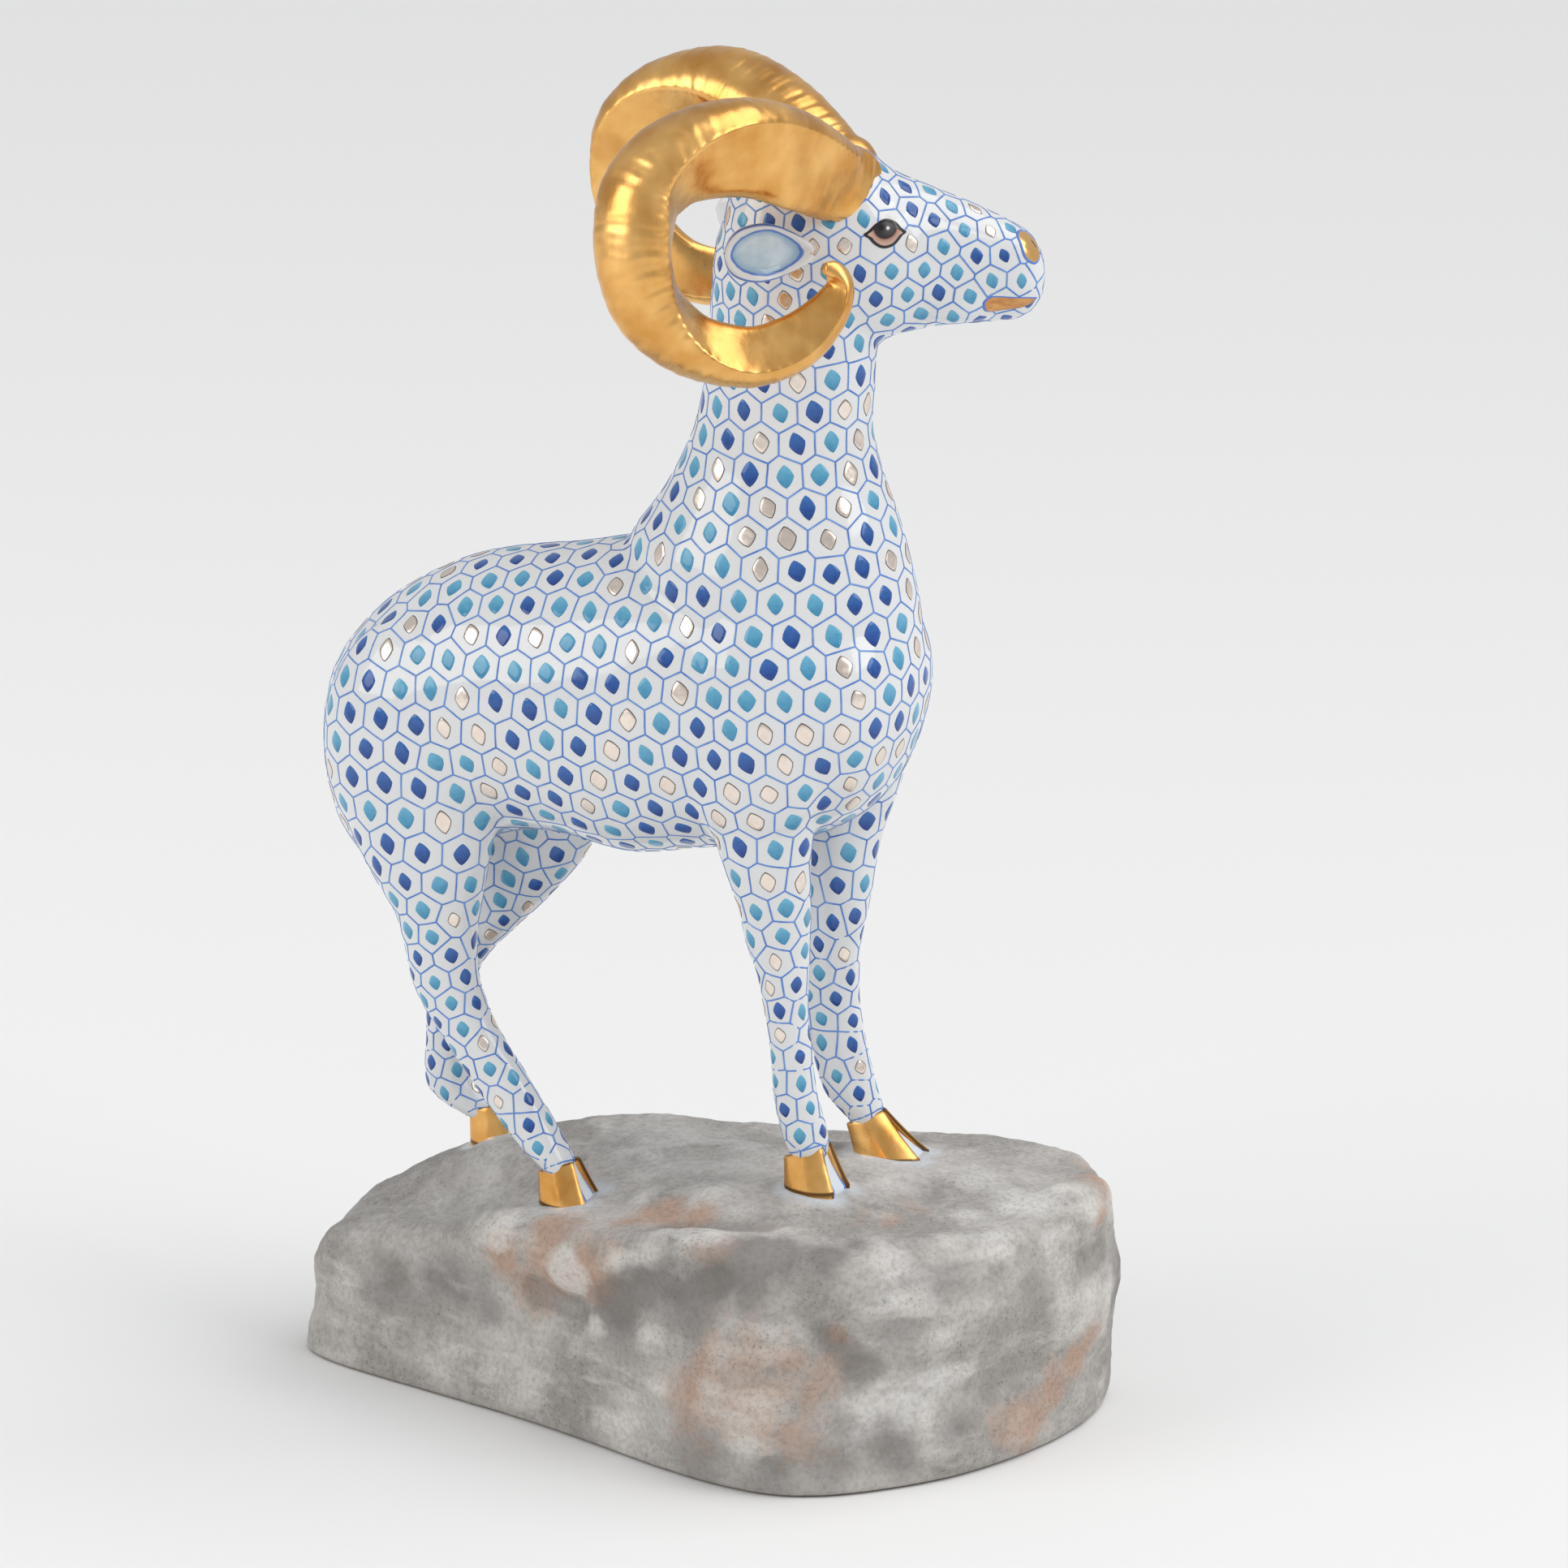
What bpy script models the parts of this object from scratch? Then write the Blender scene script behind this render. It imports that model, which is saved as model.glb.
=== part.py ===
"""Porcelain figurine of a standing ram with curled gilt horns, cast in one piece with its rock.

Every size below is in millimetres, and MM turns it into the scene's metres. The ram looks along +X,
its left side is +Y and the rock stands on Z = 0 with its middle at the origin.
"""

import math

import bmesh
import bpy
import numpy as np
from mathutils import Vector, noise

MM = 0.001

# Rock
ROCK_LENGTH = 190.0
ROCK_WIDTH = 110.0
ROCK_HEIGHT = 57.0
# Spots on the rock's upper face: x, y, and how far they lie below its height
ROCK_SPOTS = (
    (33, -13, 0), (38, 16, 0.5), (-25, -17, 8.5), (-57, 14, 8), (-95, -6, 29), (-62, 36, 13), (-88, 16, 20),
    (-12, 42, 7.5), (40, 48, 5), (78, 44, 3), (84, 15, 4), (68, -22, 5), (45, -44, 3), (8, -38, 6),
    (-18, -33, 10.5), (-50, -25, 19), (-72, -18, 24), (5, 10, 1.5), (-30, 15, 5),
)
ROCK_SPOT_REACH = 6.0
# Softening draws the upper face in by this much, so its cage stands higher
ROCK_SWELL = 1.3
ROCK_EDGE = 7.0
ROCK_FOOT = 3.0
# How often the cage is subdivided
ROCK_LEVELS = 4
# Height of its weathered lumps, how far apart the broad and the small ones are, and the small ones' share
LUMP_HEIGHT = 1.5
LUMP_SPREAD = 26.0
SMALL_LUMP_SPREAD = 11.0
SMALL_LUMP_SHARE = 0.5
# Relief is flattened to a share of itself by the hooves, from this far out and over this much more
CALM_LEAST = 0.15
CALM_START = 6.0
CALM_REACH = 14.0
# Below this height the wall runs straight to the flat underside
FOOT_BAND = 4.0
# Ledges and hollows: from x, y, z to x, y, z, reach, height
ROCK_FORMS = (
    (-30, -28, 43, -12, -36, 42, 7, 2.4), (-38, -26, 42, -34, -28, 44, 6, 1.4),
    (-22, -34, 31, -11, -38, 32, 4.5, -1.7), (-2, -41, 37, 6, -43, 43, 4.5, -1.7),
    (12, -45, 45, 28, -50, 49, 4.5, -1.3), (2, -38, 47, 26, -44, 55, 5, 1.3),
    (4, -20, 53, 14, -22, 54, 9, 1.8), (12, -34, 53, 34, -33, 55, 4, -1.0),
    (32, -55, 24, 42, -55, 16, 14, 1.8), (52, -50, 42, 60, -45, 30, 7, -1.6),
    (58, -46, 14, 64, -42, 8, 8, -1.0), (70, -34, 45, 78, -28, 30, 8, 1.2),
    (91, 12, 54, 92, 22, 53, 7, 2.4), (93, 8, 41, 94, 16, 40, 5, -1.3),
    (92, -2, 30, 94, 14, 28, 9, 1.2), (84, -18, 50, 74, -26, 52, 6, 1.2),
    (-84, -14, 26, -76, -17, 20, 9, 1.4), (-60, -25, 22, -36, -31, 20, 14, -1.4),
    (-95, -10, 10, -88, -14, 8, 7, -0.8), (-94, -4, 22, -92, 10, 24, 7, 1.6),
    (0, 25, 55, 40, 30, 55, 12, -1.2), (-50, 20, 47, -20, 30, 51, 9, 1.2),
    (-40, 44, 20, 10, 51, 30, 12, 1.6), (40, 55, 40, 70, 49, 20, 10, -1.6),
    (88, 34, 30, 80, 42, 20, 9, 1.4),
)
# Rings of the rock's wall: share of the foot or the edge that is cut back, and share of the height
ROCK_WALL_ROWS = ((1, 0), (0, 0), (0, 0.12), (0, 0.5), (0, 0.85), (0.4, 0.98))
# Rings of its upper face, as shares of the way from the middle to the edge
ROCK_TOP_ROWS = (1, 0.8, 0.46, 0.15)
# Rock's plan: x, y, and how far its upper edge leans in
ROCK_OUTLINE = (
    (-101, -8, 6), (-93, -17, 6), (-68, -24, 4), (-41, -31.5, 3), (-17, -39.5, 1), (7, -50, 1),
    (28, -55.5, 2), (45, -54, 2), (61, -41, 1), (74, -25, 0), (84, 0, -2), (87, 18, -2), (84, 38, 0),
    (70, 50, 4), (38, 54.5, 6), (0, 50, 6), (-40, 43, 6), (-76, 31, 6), (-97, 10, 6),
)

# Where the ram stands on the rock, and how high its parts are above the rock's top
RAM_X = 5.75
RAM_Y = 0.5
TRUNK_RISE = 107.0
NECK_RISE = 95.0
NECK_X = 18.5
HEAD_TURN = 24.2
HEAD_X = 22.0

# Trunk: x, bottom and top from the trunk's middle height, half width
TRUNK_ROWS = (
    (-89.5, -20, -2, 5), (-88, -31, 3, 13), (-83.5, -41, 9.5, 20), (-76, -47, 17, 25),
    (-66, -45, 23, 27.8), (-55, -40, 27.6, 28.5), (-43, -37, 31, 29), (-30, -35.5, 33.5, 29.5),
    (-15, -36, 36.5, 30), (0, -33.5, 38, 30), (15, -31, 38, 29.5), (28, -27.5, 37, 28.5),
    (38, -22, 33, 25.5), (45, -14, 27, 20.5), (49.5, -2, 20, 12), (51, 6, 14, 5),
)
# Neck: share of its rise, x from its foot, half length, half width
NECK_ROWS = (
    (-0.2, -6, 12, 14), (0.0, 2, 28, 27), (0.22, 1, 29.5, 26), (0.38, -1.5, 28.5, 23.5),
    (0.48, -0.5, 25, 20.5), (0.58, -0.2, 21.5, 18), (0.68, 0.5, 19.3, 16.6), (0.78, 1.8, 19.0, 16.2),
    (0.88, 2.4, 18.5, 15.8), (1.0, 1.5, 17.0, 15.3), (1.12, 0.5, 14.5, 13.5), (1.22, 0, 9, 9),
)
# Head: distance along it from the top of the neck, bottom and top, half width
HEAD_ROWS = (
    (-15.5, 3, 17, 5), (-13.5, -6, 23, 10), (-8, -12, 28.5, 13.8), (0, -14, 31.2, 15.6),
    (8, -13.6, 31.6, 15.9), (15, -12.5, 30.2, 15.0), (20, -11, 26.0, 13.6), (27, -9.3, 22.8, 11.4),
    (34, -8.4, 20.0, 9.8), (41, -8, 16.9, 9.0), (47, -7.5, 13.9, 8.5), (51, -5.6, 11, 7.2),
    (53.6, -1.5, 6.5, 4.2),
)
# Muscles: name, x, y to either side, height from the trunk's middle, half sizes along X, Y and Z
MUSCLES = (
    ("shoulder", 19, 19.5, 2, (20, 10.5, 29)),
    ("haunch", -63, 15.5, -13, (23, 13.5, 30)),
    ("breast", 38, 9, 8, (11, 12, 22)),
)

# Hooves
HOOF_WIDTH = 12.5
HOOF_HEIGHT = 9.0
HOOF_SINK = 2.5
TOE_GAP = 1.2
TOE_SPREAD = 9.0
# How much narrower the hoof's top is, and how much higher it is in front than at the heel
HOOF_TAPER = 0.14
HOOF_SLOPE = 0.36
# One toe's plan from the heel round its outer side and back along the cleft: forwards and outwards
TOE_PLAN = (
    (0, 0.08), (-0.02, 0.5), (0.1, 0.86), (0.4, 1.0), (0.7, 0.9), (0.9, 0.6), (1.02, 0.24), (0.98, 0.02),
    (0.5, 0.0),
)
# Toe's rows as shares of the hoof's height, each with a share by which it is drawn in
TOE_ROWS = ((0.0, 0), (0.5, 0), (0.94, 0), (1.0, 0.12))
# Wedge of porcelain between the toes: share of the hoof's height, back, front, width
CLEFT_ROWS = ((-0.2, 0.1, 0.92, 3.4), (0.4, 0.06, 0.72, 3.0), (1.05, 0.05, 0.5, 3.6))

# Hooves: x, y, length, the top's length and how far it is forward at the heel as shares, degrees turned
FORE_NEAR_HOOF = (33.5, -13.5, 12.0, 0.78, 0.0, -12)
FORE_FAR_HOOF = (38.5, 16.5, 16.0, 0.52, -0.08, -6)
HIND_NEAR_HOOF = (-25.5, -17.0, 12.0, 0.8, 0.0, -12)
HIND_FAR_HOOF = (-57.0, 14.0, 12.0, 0.75, -0.05, -8)
HOOVES = (FORE_NEAR_HOOF, FORE_FAR_HOOF, HIND_NEAR_HOOF, HIND_FAR_HOOF)
# Legs from the sole up to the trunk's middle: share of the height, x and y from the hoof, half length and
# half width
FORE_NEAR_ROWS = (
    (0.05, -2.5, 0, 5.6, 5.5), (0.12, -4.5, 0, 5.5, 5.3), (0.2, -6.5, 0, 5.0, 4.9),
    (0.3, -7.5, 0, 4.8, 4.8), (0.38, -8.0, 0, 5.0, 5.2), (0.46, -8.7, 0, 6.0, 5.8),
    (0.52, -9.9, 0, 7.2, 6.6),
    (0.6, -10.5, -0.5, 8.2, 7.6), (0.7, -12, -1.5, 10.0, 8.8), (0.85, -13.5, -2.5, 13.0, 9.5),
    (1.0, -14.5, -3, 14.0, 9.5), (1.15, -15.5, -2, 12.0, 8.0),
)
FORE_FAR_ROWS = (
    (0.05, -5.5, 0, 7.0, 5.6), (0.12, -10.2, 0, 7.0, 5.5), (0.2, -12.4, 0, 6.8, 5.1),
    (0.3, -14.6, -0.5, 6.9, 5.0), (0.38, -14.8, -1, 6.8, 5.3), (0.46, -14.6, -1.5, 7.2, 5.9),
    (0.52, -14.0, -1.5, 8.0, 6.6), (0.6, -13.5, -1, 8.8, 7.6), (0.7, -13, -0.5, 10.0, 8.8),
    (0.85, -12.5, 0, 13.0, 9.5), (1.0, -14.5, 0, 14.0, 9.5), (1.15, -16.5, -1, 12.0, 8.0),
)
HIND_NEAR_ROWS = (
    (0.05, -3.5, 0, 5.3, 5.4), (0.1, -7.5, 0, 6.2, 5.4), (0.17, -13, 0, 7.2, 5.0),
    (0.25, -19.5, 0, 7.6, 4.9), (0.32, -25.2, 0, 7.6, 5.3), (0.38, -29.2, 0, 8.0, 6.0),
    (0.43, -31.3, 0, 8.2, 6.4), (0.49, -32.2, 0, 8.6, 6.8), (0.56, -33, 0, 10.2, 8.0),
    (0.66, -35.5, 0, 15.0, 10.0), (0.8, -37.5, 0.5, 19.5, 11.0), (1.0, -39, 0, 18.0, 10.0),
)
HIND_FAR_ROWS = (
    (0.04, -3, 0, 6.6, 5.4), (0.07, -8.5, 0, 7.6, 5.4), (0.10, -12.6, 0, 6.6, 5.2),
    (0.15, -14.1, 0, 5.4, 5.0), (0.22, -14.1, 0, 4.9, 5.0), (0.3, -13.4, 0, 5.6, 5.4),
    (0.38, -11.3, 0, 7.4, 6.0), (0.46, -5.5, 0, 10.6, 6.9), (0.55, 1.2, 0, 14.0, 8.2),
    (0.65, 5.5, 0, 18.0, 9.6), (0.76, 3, 0, 20.0, 10.6), (0.88, -3, 0.5, 20.0, 11.0),
    (1.0, -6.5, 0, 18.0, 10.0),
)

# Horns: along the head, out from its middle, up from the top of the neck, thickness, breadth, and
# degrees that the outer face turns outwards
HORN_ROWS = (
    (13.6, 6.0, 24.4, 14, 12, -5), (7.3, 11.0, 25.4, 18.5, 15, -10), (-2.8, 22.0, 31.7, 22, 18.5, -12),
    (-13.8, 32.0, 36.4, 21, 19.5, -5), (-25.3, 37.5, 34.8, 19.5, 19.5, 10),
    (-32.4, 40.5, 28.7, 19, 19, 25), (-34.2, 42.5, 21.2, 19.2, 18.5, 36),
    (-34.1, 43.5, 13.3, 18.8, 17.5, 40), (-31.4, 43.5, 4.6, 17, 16, 36),
    (-23.6, 43.0, -3.3, 14, 14.2, 14), (-12.4, 42.0, -6.4, 13, 12.6, -14),
    (-2.2, 40.0, -3.6, 12.3, 11.4, -20), (4.6, 38.0, 2.0, 9.4, 9.2, -12), (7.5, 37.0, 7.4, 6.4, 6.6, -5),
    (6.3, 37.5, 10.8, 4.4, 4.4, 0), (4.0, 38.5, 11.7, 2.6, 2.6, 0),
)
HORN_LOOP = (-12.2, 36.0, 13.0)
HORN_RIBS = 27
HORN_RIB_DEPTH = 0.5
# Ribs are this deep where the horn is this thick, and shallower towards the tip
HORN_RIB_FULL = 15.0
# Horn section from its outer crown to its inner edge: out and sideways, as shares of its size. Ribs cross
# the crown, which is the part further out than HORN_CROWN.
HORN_CROWN = 0.2
HORN_SECTION = (
    (0.50, 0.0), (0.455, 0.27), (0.30, 0.47), (0.14, 0.47), (-0.12, 0.34), (-0.36, 0.19), (-0.5, 0.0),
)

# Ears: distance along the ear, half width, thickness
EAR_ROOT = (4.0, 13.0, 10.2)
EAR_TIP = (-16.5, 25.5, 12.5)
EAR_ROWS = (
    (0.0, 2.6, 3.8), (0.15, 3.2, 3.8), (0.3, 4.8, 3.6), (0.45, 5.9, 3.4), (0.6, 6.1, 3.2), (0.75, 5.5, 2.9),
    (0.88, 4.0, 2.5), (0.96, 2.2, 2.0), (1.0, 0.5, 1.2),
)
EAR_CUP = 2.2

# How finely the soft forms are blended, and what share of their triangles they keep
BLEND_GRID = 1.5
BLEND_ROUNDS = 10
BLEND_FACTOR = 0.5
RAM_DETAIL = 0.062
ROCK_DETAIL = 0.03
# Sections drawn between two rows, and points round a section
SPAN_STEPS = 3
EAR_STEPS = 2
HORN_STEPS = 12
BODY_SIDES = 32
LEG_SIDES = 16
SMALL_SIDES = 12


def clear_scene():
    for old in list(bpy.data.objects):
        bpy.data.objects.remove(old)


def collection_named(name, helper=False):
    made = bpy.data.collections.new(name)
    made.hide_render = helper
    bpy.context.scene.collection.children.link(made)
    return made


def through_rows(rows, steps):
    """Points of a smooth curve through the rows, steps to each span, with the rows' own values on it."""
    values = np.array(rows, float)
    before = np.vstack([2 * values[0] - values[1], values[:-1]])
    after = np.vstack([values[1:], 2 * values[-1] - values[-2]])
    slopes = (after - before) / 2
    points = []
    for i in range(len(values) - 1):
        for t in np.arange(steps) / steps:
            points.append(
                (2 * t**3 - 3 * t**2 + 1) * values[i]
                + (t**3 - 2 * t**2 + t) * slopes[i]
                + (3 * t**2 - 2 * t**3) * values[i + 1]
                + (t**3 - t**2) * slopes[i + 1]
            )
    return points + [values[-1]]


def angles(around):
    return [2 * math.pi * i / around for i in range(around)]


def upright_ring(x, bottom, top, half_width, around):
    """An oval across X, between two heights."""
    middle, half_height = (top + bottom) / 2, (top - bottom) / 2
    return [(x, half_width * math.cos(a), middle + half_height * math.sin(a)) for a in angles(around)]


def level_ring(x, y, z, half_length, half_width, around):
    """An oval in a level plane."""
    return [(x + half_length * math.cos(a), y + half_width * math.sin(a), z) for a in angles(around)]


def add_loft(mesh, rings):
    """A closed skin over rings of equal count, with a fan at each end."""
    rows = [[mesh.verts.new(point) for point in ring] for ring in rings]
    count = len(rows[0])
    faces = []
    for low, high in zip(rows, rows[1:]):
        for i in range(count):
            j = (i + 1) % count
            faces.append(mesh.faces.new((low[i], low[j], high[j], high[i])))
    for row in (rows[0], rows[-1]):
        middle = mesh.verts.new(np.mean([v.co for v in row], axis=0))
        for i in range(count):
            faces.append(mesh.faces.new((row[i], row[(i + 1) % count], middle)))
    bmesh.ops.recalc_face_normals(mesh, faces=faces)


def add_ball(mesh, centre, halves):
    ball = bmesh.ops.create_uvsphere(mesh, u_segments=BODY_SIDES, v_segments=LEG_SIDES, radius=1)
    for vertex in ball["verts"]:
        vertex.co = [c + h * v for c, h, v in zip(centre, halves, vertex.co)]


def object_of(name, mesh, collection, material=None):
    """An object from a bmesh drawn in millimetres."""
    bmesh.ops.scale(mesh, vec=(MM, MM, MM), verts=mesh.verts)
    data = bpy.data.meshes.new(name)
    mesh.to_mesh(data)
    mesh.free()
    made = bpy.data.objects.new(name, data)
    collection.objects.link(made)
    if material:
        data.materials.append(material)
    return made


def applied(obj):
    """The object with its modifiers made part of its mesh."""
    graph = bpy.context.evaluated_depsgraph_get()
    data = bpy.data.meshes.new_from_object(obj.evaluated_get(graph))
    obj.modifiers.clear()
    obj.data = data
    return obj


def porcelain():
    material = bpy.data.materials.new("white_porcelain")
    material.use_nodes = True
    shader = material.node_tree.nodes["Principled BSDF"]
    shader.inputs["Base Color"].default_value = (0.82, 0.85, 0.88, 1)
    shader.inputs["Roughness"].default_value = 0.12
    shader.inputs["Metallic"].default_value = 0
    return material


def rock_top(x, y):
    """Height of the rock's upper face, drawn from its nearest spots."""
    weights = [((x - a) ** 2 + (y - b) ** 2 + ROCK_SPOT_REACH**2) ** -2 for a, b, _ in ROCK_SPOTS]
    drops = [drop for _, _, drop in ROCK_SPOTS]
    return ROCK_HEIGHT - np.average(drops, weights=weights)


def rock_outline():
    """The rock's plan, stretched to its length and width about the origin."""
    plan = np.array(ROCK_OUTLINE, float)[:, :2]
    low, high = plan.min(axis=0), plan.max(axis=0)
    return (plan - (low + high) / 2) / (high - low) * (ROCK_LENGTH, ROCK_WIDTH)


def make_rock(collection):
    """A cage of rings from the underside to the middle of the upper face, made soft and weathered."""
    plan = rock_outline()
    reach = np.hypot(*plan.T)
    mesh = bmesh.new()
    rings = []
    leans = [lean for _, _, lean in ROCK_OUTLINE]
    for cut, share in ROCK_WALL_ROWS:
        inset = cut * (ROCK_EDGE if share else ROCK_FOOT)
        ring = []
        for (x, y), r, lean in zip(plan, reach, leans):
            kept = 1 - (inset + lean * share) / r
            ring.append((x * kept, y * kept, share * (rock_top(x, y) + ROCK_SWELL)))
        rings.append(ring)
    for share in ROCK_TOP_ROWS:
        ring = []
        for (x, y), r, lean in zip(plan, reach, leans):
            kept = (1 - (ROCK_EDGE + lean) / r) * share
            ring.append((x * kept, y * kept, rock_top(x * kept, y * kept) + ROCK_SWELL))
        rings.append(ring)
    add_loft(mesh, rings)
    rock = object_of("rock", mesh, collection)
    soften = rock.modifiers.new("soften", "SUBSURF")
    soften.levels = soften.render_levels = ROCK_LEVELS
    applied(rock)
    weather(rock)
    thin = rock.modifiers.new("thin", "DECIMATE")
    thin.ratio = ROCK_DETAIL
    return applied(rock)


def weather(rock):
    """Moves the rock's skin out and in along its normals, by its lumps, ledges and hollows."""
    points = np.array([vertex.co for vertex in rock.data.vertices]) / MM
    normals = np.array([vertex.normal for vertex in rock.data.vertices])
    hooves = [np.hypot(points[:, 0] - x - RAM_X, points[:, 1] - y - RAM_Y) for x, y, *_ in HOOVES]
    calm = np.clip((np.min(hooves, axis=0) - CALM_START) / CALM_REACH, CALM_LEAST, 1)
    lumps = np.array([
        noise.noise(Vector(point / LUMP_SPREAD))
        + SMALL_LUMP_SHARE * noise.noise(Vector(point / SMALL_LUMP_SPREAD))
        for point in points
    ])
    rise = LUMP_HEIGHT * lumps
    for x1, y1, z1, x2, y2, z2, reach, height in ROCK_FORMS:
        start, end = np.array((x1, y1, z1)), np.array((x2, y2, z2))
        along = np.clip((points - start) @ (end - start) / np.sum((end - start) ** 2), 0, 1)
        away = np.linalg.norm(points - start - along[:, None] * (end - start), axis=1)
        rise += height * np.exp(-((away / reach) ** 2))
    rise *= calm * np.clip(points[:, 2] / FOOT_BAND, 0, 1)
    points += normals * rise[:, None]
    points[:, 2] = np.maximum(points[:, 2], 0)
    rock.data.vertices.foreach_set("co", (points * MM).ravel())
    rock.data.update()


def leg_rings(hoof, rows):
    """Level ovals of a leg that stands on the rock, in the ram's own place."""
    sole = rock_top(hoof[0] + RAM_X, hoof[1] + RAM_Y)
    height = ROCK_HEIGHT + TRUNK_RISE - sole
    return [
        level_ring(hoof[0] + x, hoof[1] + y, sole + share * height, long, wide, LEG_SIDES)
        for share, x, y, long, wide in through_rows(rows, SPAN_STEPS)
    ]


def turned(points, level):
    """Points along the head, out to its left and up, turned with it and set on the neck."""
    c, s = math.cos(math.radians(HEAD_TURN)), math.sin(math.radians(HEAD_TURN))
    return [(HEAD_X + along * c - out * s, along * s + out * c, level + up) for along, out, up in points]


def make_ram(collection):
    """Trunk, neck, head, muscles and legs, blended into one soft skin."""
    level = ROCK_HEIGHT + TRUNK_RISE
    neck_top = level + NECK_RISE
    mesh = bmesh.new()
    add_loft(mesh, [
        upright_ring(x, level + bottom, level + top, wide, BODY_SIDES)
        for x, bottom, top, wide in through_rows(TRUNK_ROWS, SPAN_STEPS)
    ])
    add_loft(mesh, [
        level_ring(NECK_X + x, 0, level + share * NECK_RISE, long, wide, BODY_SIDES)
        for share, x, long, wide in through_rows(NECK_ROWS, SPAN_STEPS)
    ])
    add_loft(mesh, [
        turned(upright_ring(*row, BODY_SIDES), neck_top) for row in through_rows(HEAD_ROWS, SPAN_STEPS)
    ])
    for _, x, y, z, halves in MUSCLES:
        for side in (-1, 1):
            add_ball(mesh, (x, side * y, level + z), halves)
    for hoof, rows in (
        (FORE_NEAR_HOOF, FORE_NEAR_ROWS), (FORE_FAR_HOOF, FORE_FAR_ROWS),
        (HIND_NEAR_HOOF, HIND_NEAR_ROWS), (HIND_FAR_HOOF, HIND_FAR_ROWS),
    ):
        add_loft(mesh, leg_rings(hoof, rows))
    bmesh.ops.translate(mesh, vec=(RAM_X, RAM_Y, 0), verts=mesh.verts)
    ram = object_of("ram", mesh, collection)
    blend = ram.modifiers.new("blend", "REMESH")
    blend.mode = "VOXEL"
    blend.voxel_size = BLEND_GRID * MM
    smooth = ram.modifiers.new("smooth", "SMOOTH")
    smooth.iterations = round(BLEND_ROUNDS)
    smooth.factor = BLEND_FACTOR
    thin = ram.modifiers.new("thin", "DECIMATE")
    thin.ratio = RAM_DETAIL
    return applied(ram)


def horn_rings(side):
    """Sections of a horn, square to its curl, with low ribs across the outer face."""
    points = through_rows(HORN_ROWS, HORN_STEPS)
    path = np.array([p[:3] for p in points])
    run = np.concatenate([[0], np.cumsum(np.linalg.norm(np.diff(path, axis=0), axis=1))])
    stops = np.linspace(0, run[-1], 2 * HORN_RIBS + 1)
    rows = np.array([np.interp(stops, run, column) for column in np.array(points).T]).T
    ways = np.gradient(rows[:, :3], axis=0)
    rings = []
    for i, (row, way) in enumerate(zip(rows, ways)):
        way = way / np.linalg.norm(way)
        out = row[:3] - HORN_LOOP
        out = out - way * out.dot(way)
        out = out / np.linalg.norm(out)
        across = np.cross(out, way)
        across = across * (1 if across[1] > 0 else -1)
        roll = math.radians(row[5])
        out, across = (
            out * math.cos(roll) + across * math.sin(roll), across * math.cos(roll) - out * math.sin(roll)
        )
        rib = HORN_RIB_DEPTH * (i % 2) * min(row[3] / HORN_RIB_FULL, 1)
        ring = []
        for sign, half in ((1, HORN_SECTION), (-1, HORN_SECTION[-2:0:-1])):
            for r, s in half:
                raised = rib if r > HORN_CROWN else 0
                ring.append(row[:3] + out * (r * row[3] + raised) + across * (sign * s * row[4]))
        rings.append([(p[0], side * p[1], p[2]) for p in ring])
    return rings


def make_horn(name, side, collection):
    mesh = bmesh.new()
    neck_top = ROCK_HEIGHT + TRUNK_RISE + NECK_RISE
    add_loft(mesh, [turned(ring, neck_top) for ring in horn_rings(side)])
    bmesh.ops.translate(mesh, vec=(RAM_X, RAM_Y, 0), verts=mesh.verts)
    return object_of(name, mesh, collection)


def ear_rings(side):
    """Leaf-shaped sections, hollowed on the face that looks out and forward."""
    root, tip = np.array(EAR_ROOT), np.array(EAR_TIP)
    way = (tip - root) / np.linalg.norm(tip - root)
    out = np.cross(way, (0, 0, 1))
    out = out / np.linalg.norm(out) * (1 if out[1] > 0 else -1)
    up = np.cross(out, way)
    up = up * (1 if up[2] > 0 else -1)
    widest = max(wide for _, wide, _ in EAR_ROWS)
    rings = []
    for share, wide, thick in through_rows(EAR_ROWS, EAR_STEPS):
        middle = root + (tip - root) * share
        ring = []
        for a in angles(SMALL_SIDES):
            cup = EAR_CUP * wide / widest * math.sin(a) ** 2 if math.sin(a) > 0 else 0
            ring.append(middle + up * wide * math.cos(a) + out * (thick / 2 * math.sin(a) - cup))
        rings.append([(p[0], side * p[1], p[2]) for p in ring])
    return rings


def make_ear(name, side, collection):
    mesh = bmesh.new()
    neck_top = ROCK_HEIGHT + TRUNK_RISE + NECK_RISE
    add_loft(mesh, [turned(ring, neck_top) for ring in ear_rings(side)])
    bmesh.ops.translate(mesh, vec=(RAM_X, RAM_Y, 0), verts=mesh.verts)
    return object_of(name, mesh, collection)


def toe_rings(side, length, top, heel):
    """One toe of a cloven hoof from the sole up, with its heel at the back of the hoof."""
    low = -HOOF_SINK / HOOF_HEIGHT
    rings = []
    for share, drawn in ((low, 0), *TOE_ROWS):
        run = max(share, 0)
        ring = []
        for x, y in TOE_PLAN:
            x, y = 0.5 + (x - 0.5) * (1 - drawn), y * (1 - drawn)
            ring.append((
                length * (heel * run - 0.5 + x * (1 + (top - 1) * run)),
                side * (TOE_GAP / 2 + y * (1 - HOOF_TAPER * run) * (HOOF_WIDTH - TOE_GAP) / 2),
                share * HOOF_HEIGHT * (1 + HOOF_SLOPE * (x - 0.5) * run),
            ))
        rings.append(ring)
    return rings


def cleft_rings(length):
    rings = []
    for share, back, front, wide in CLEFT_ROWS:
        x, half = length * ((back + front) / 2 - 0.5), length * (front - back) / 2
        rings.append(level_ring(x, 0, share * HOOF_HEIGHT, half, wide / 2, SMALL_SIDES))
    return rings


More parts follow.
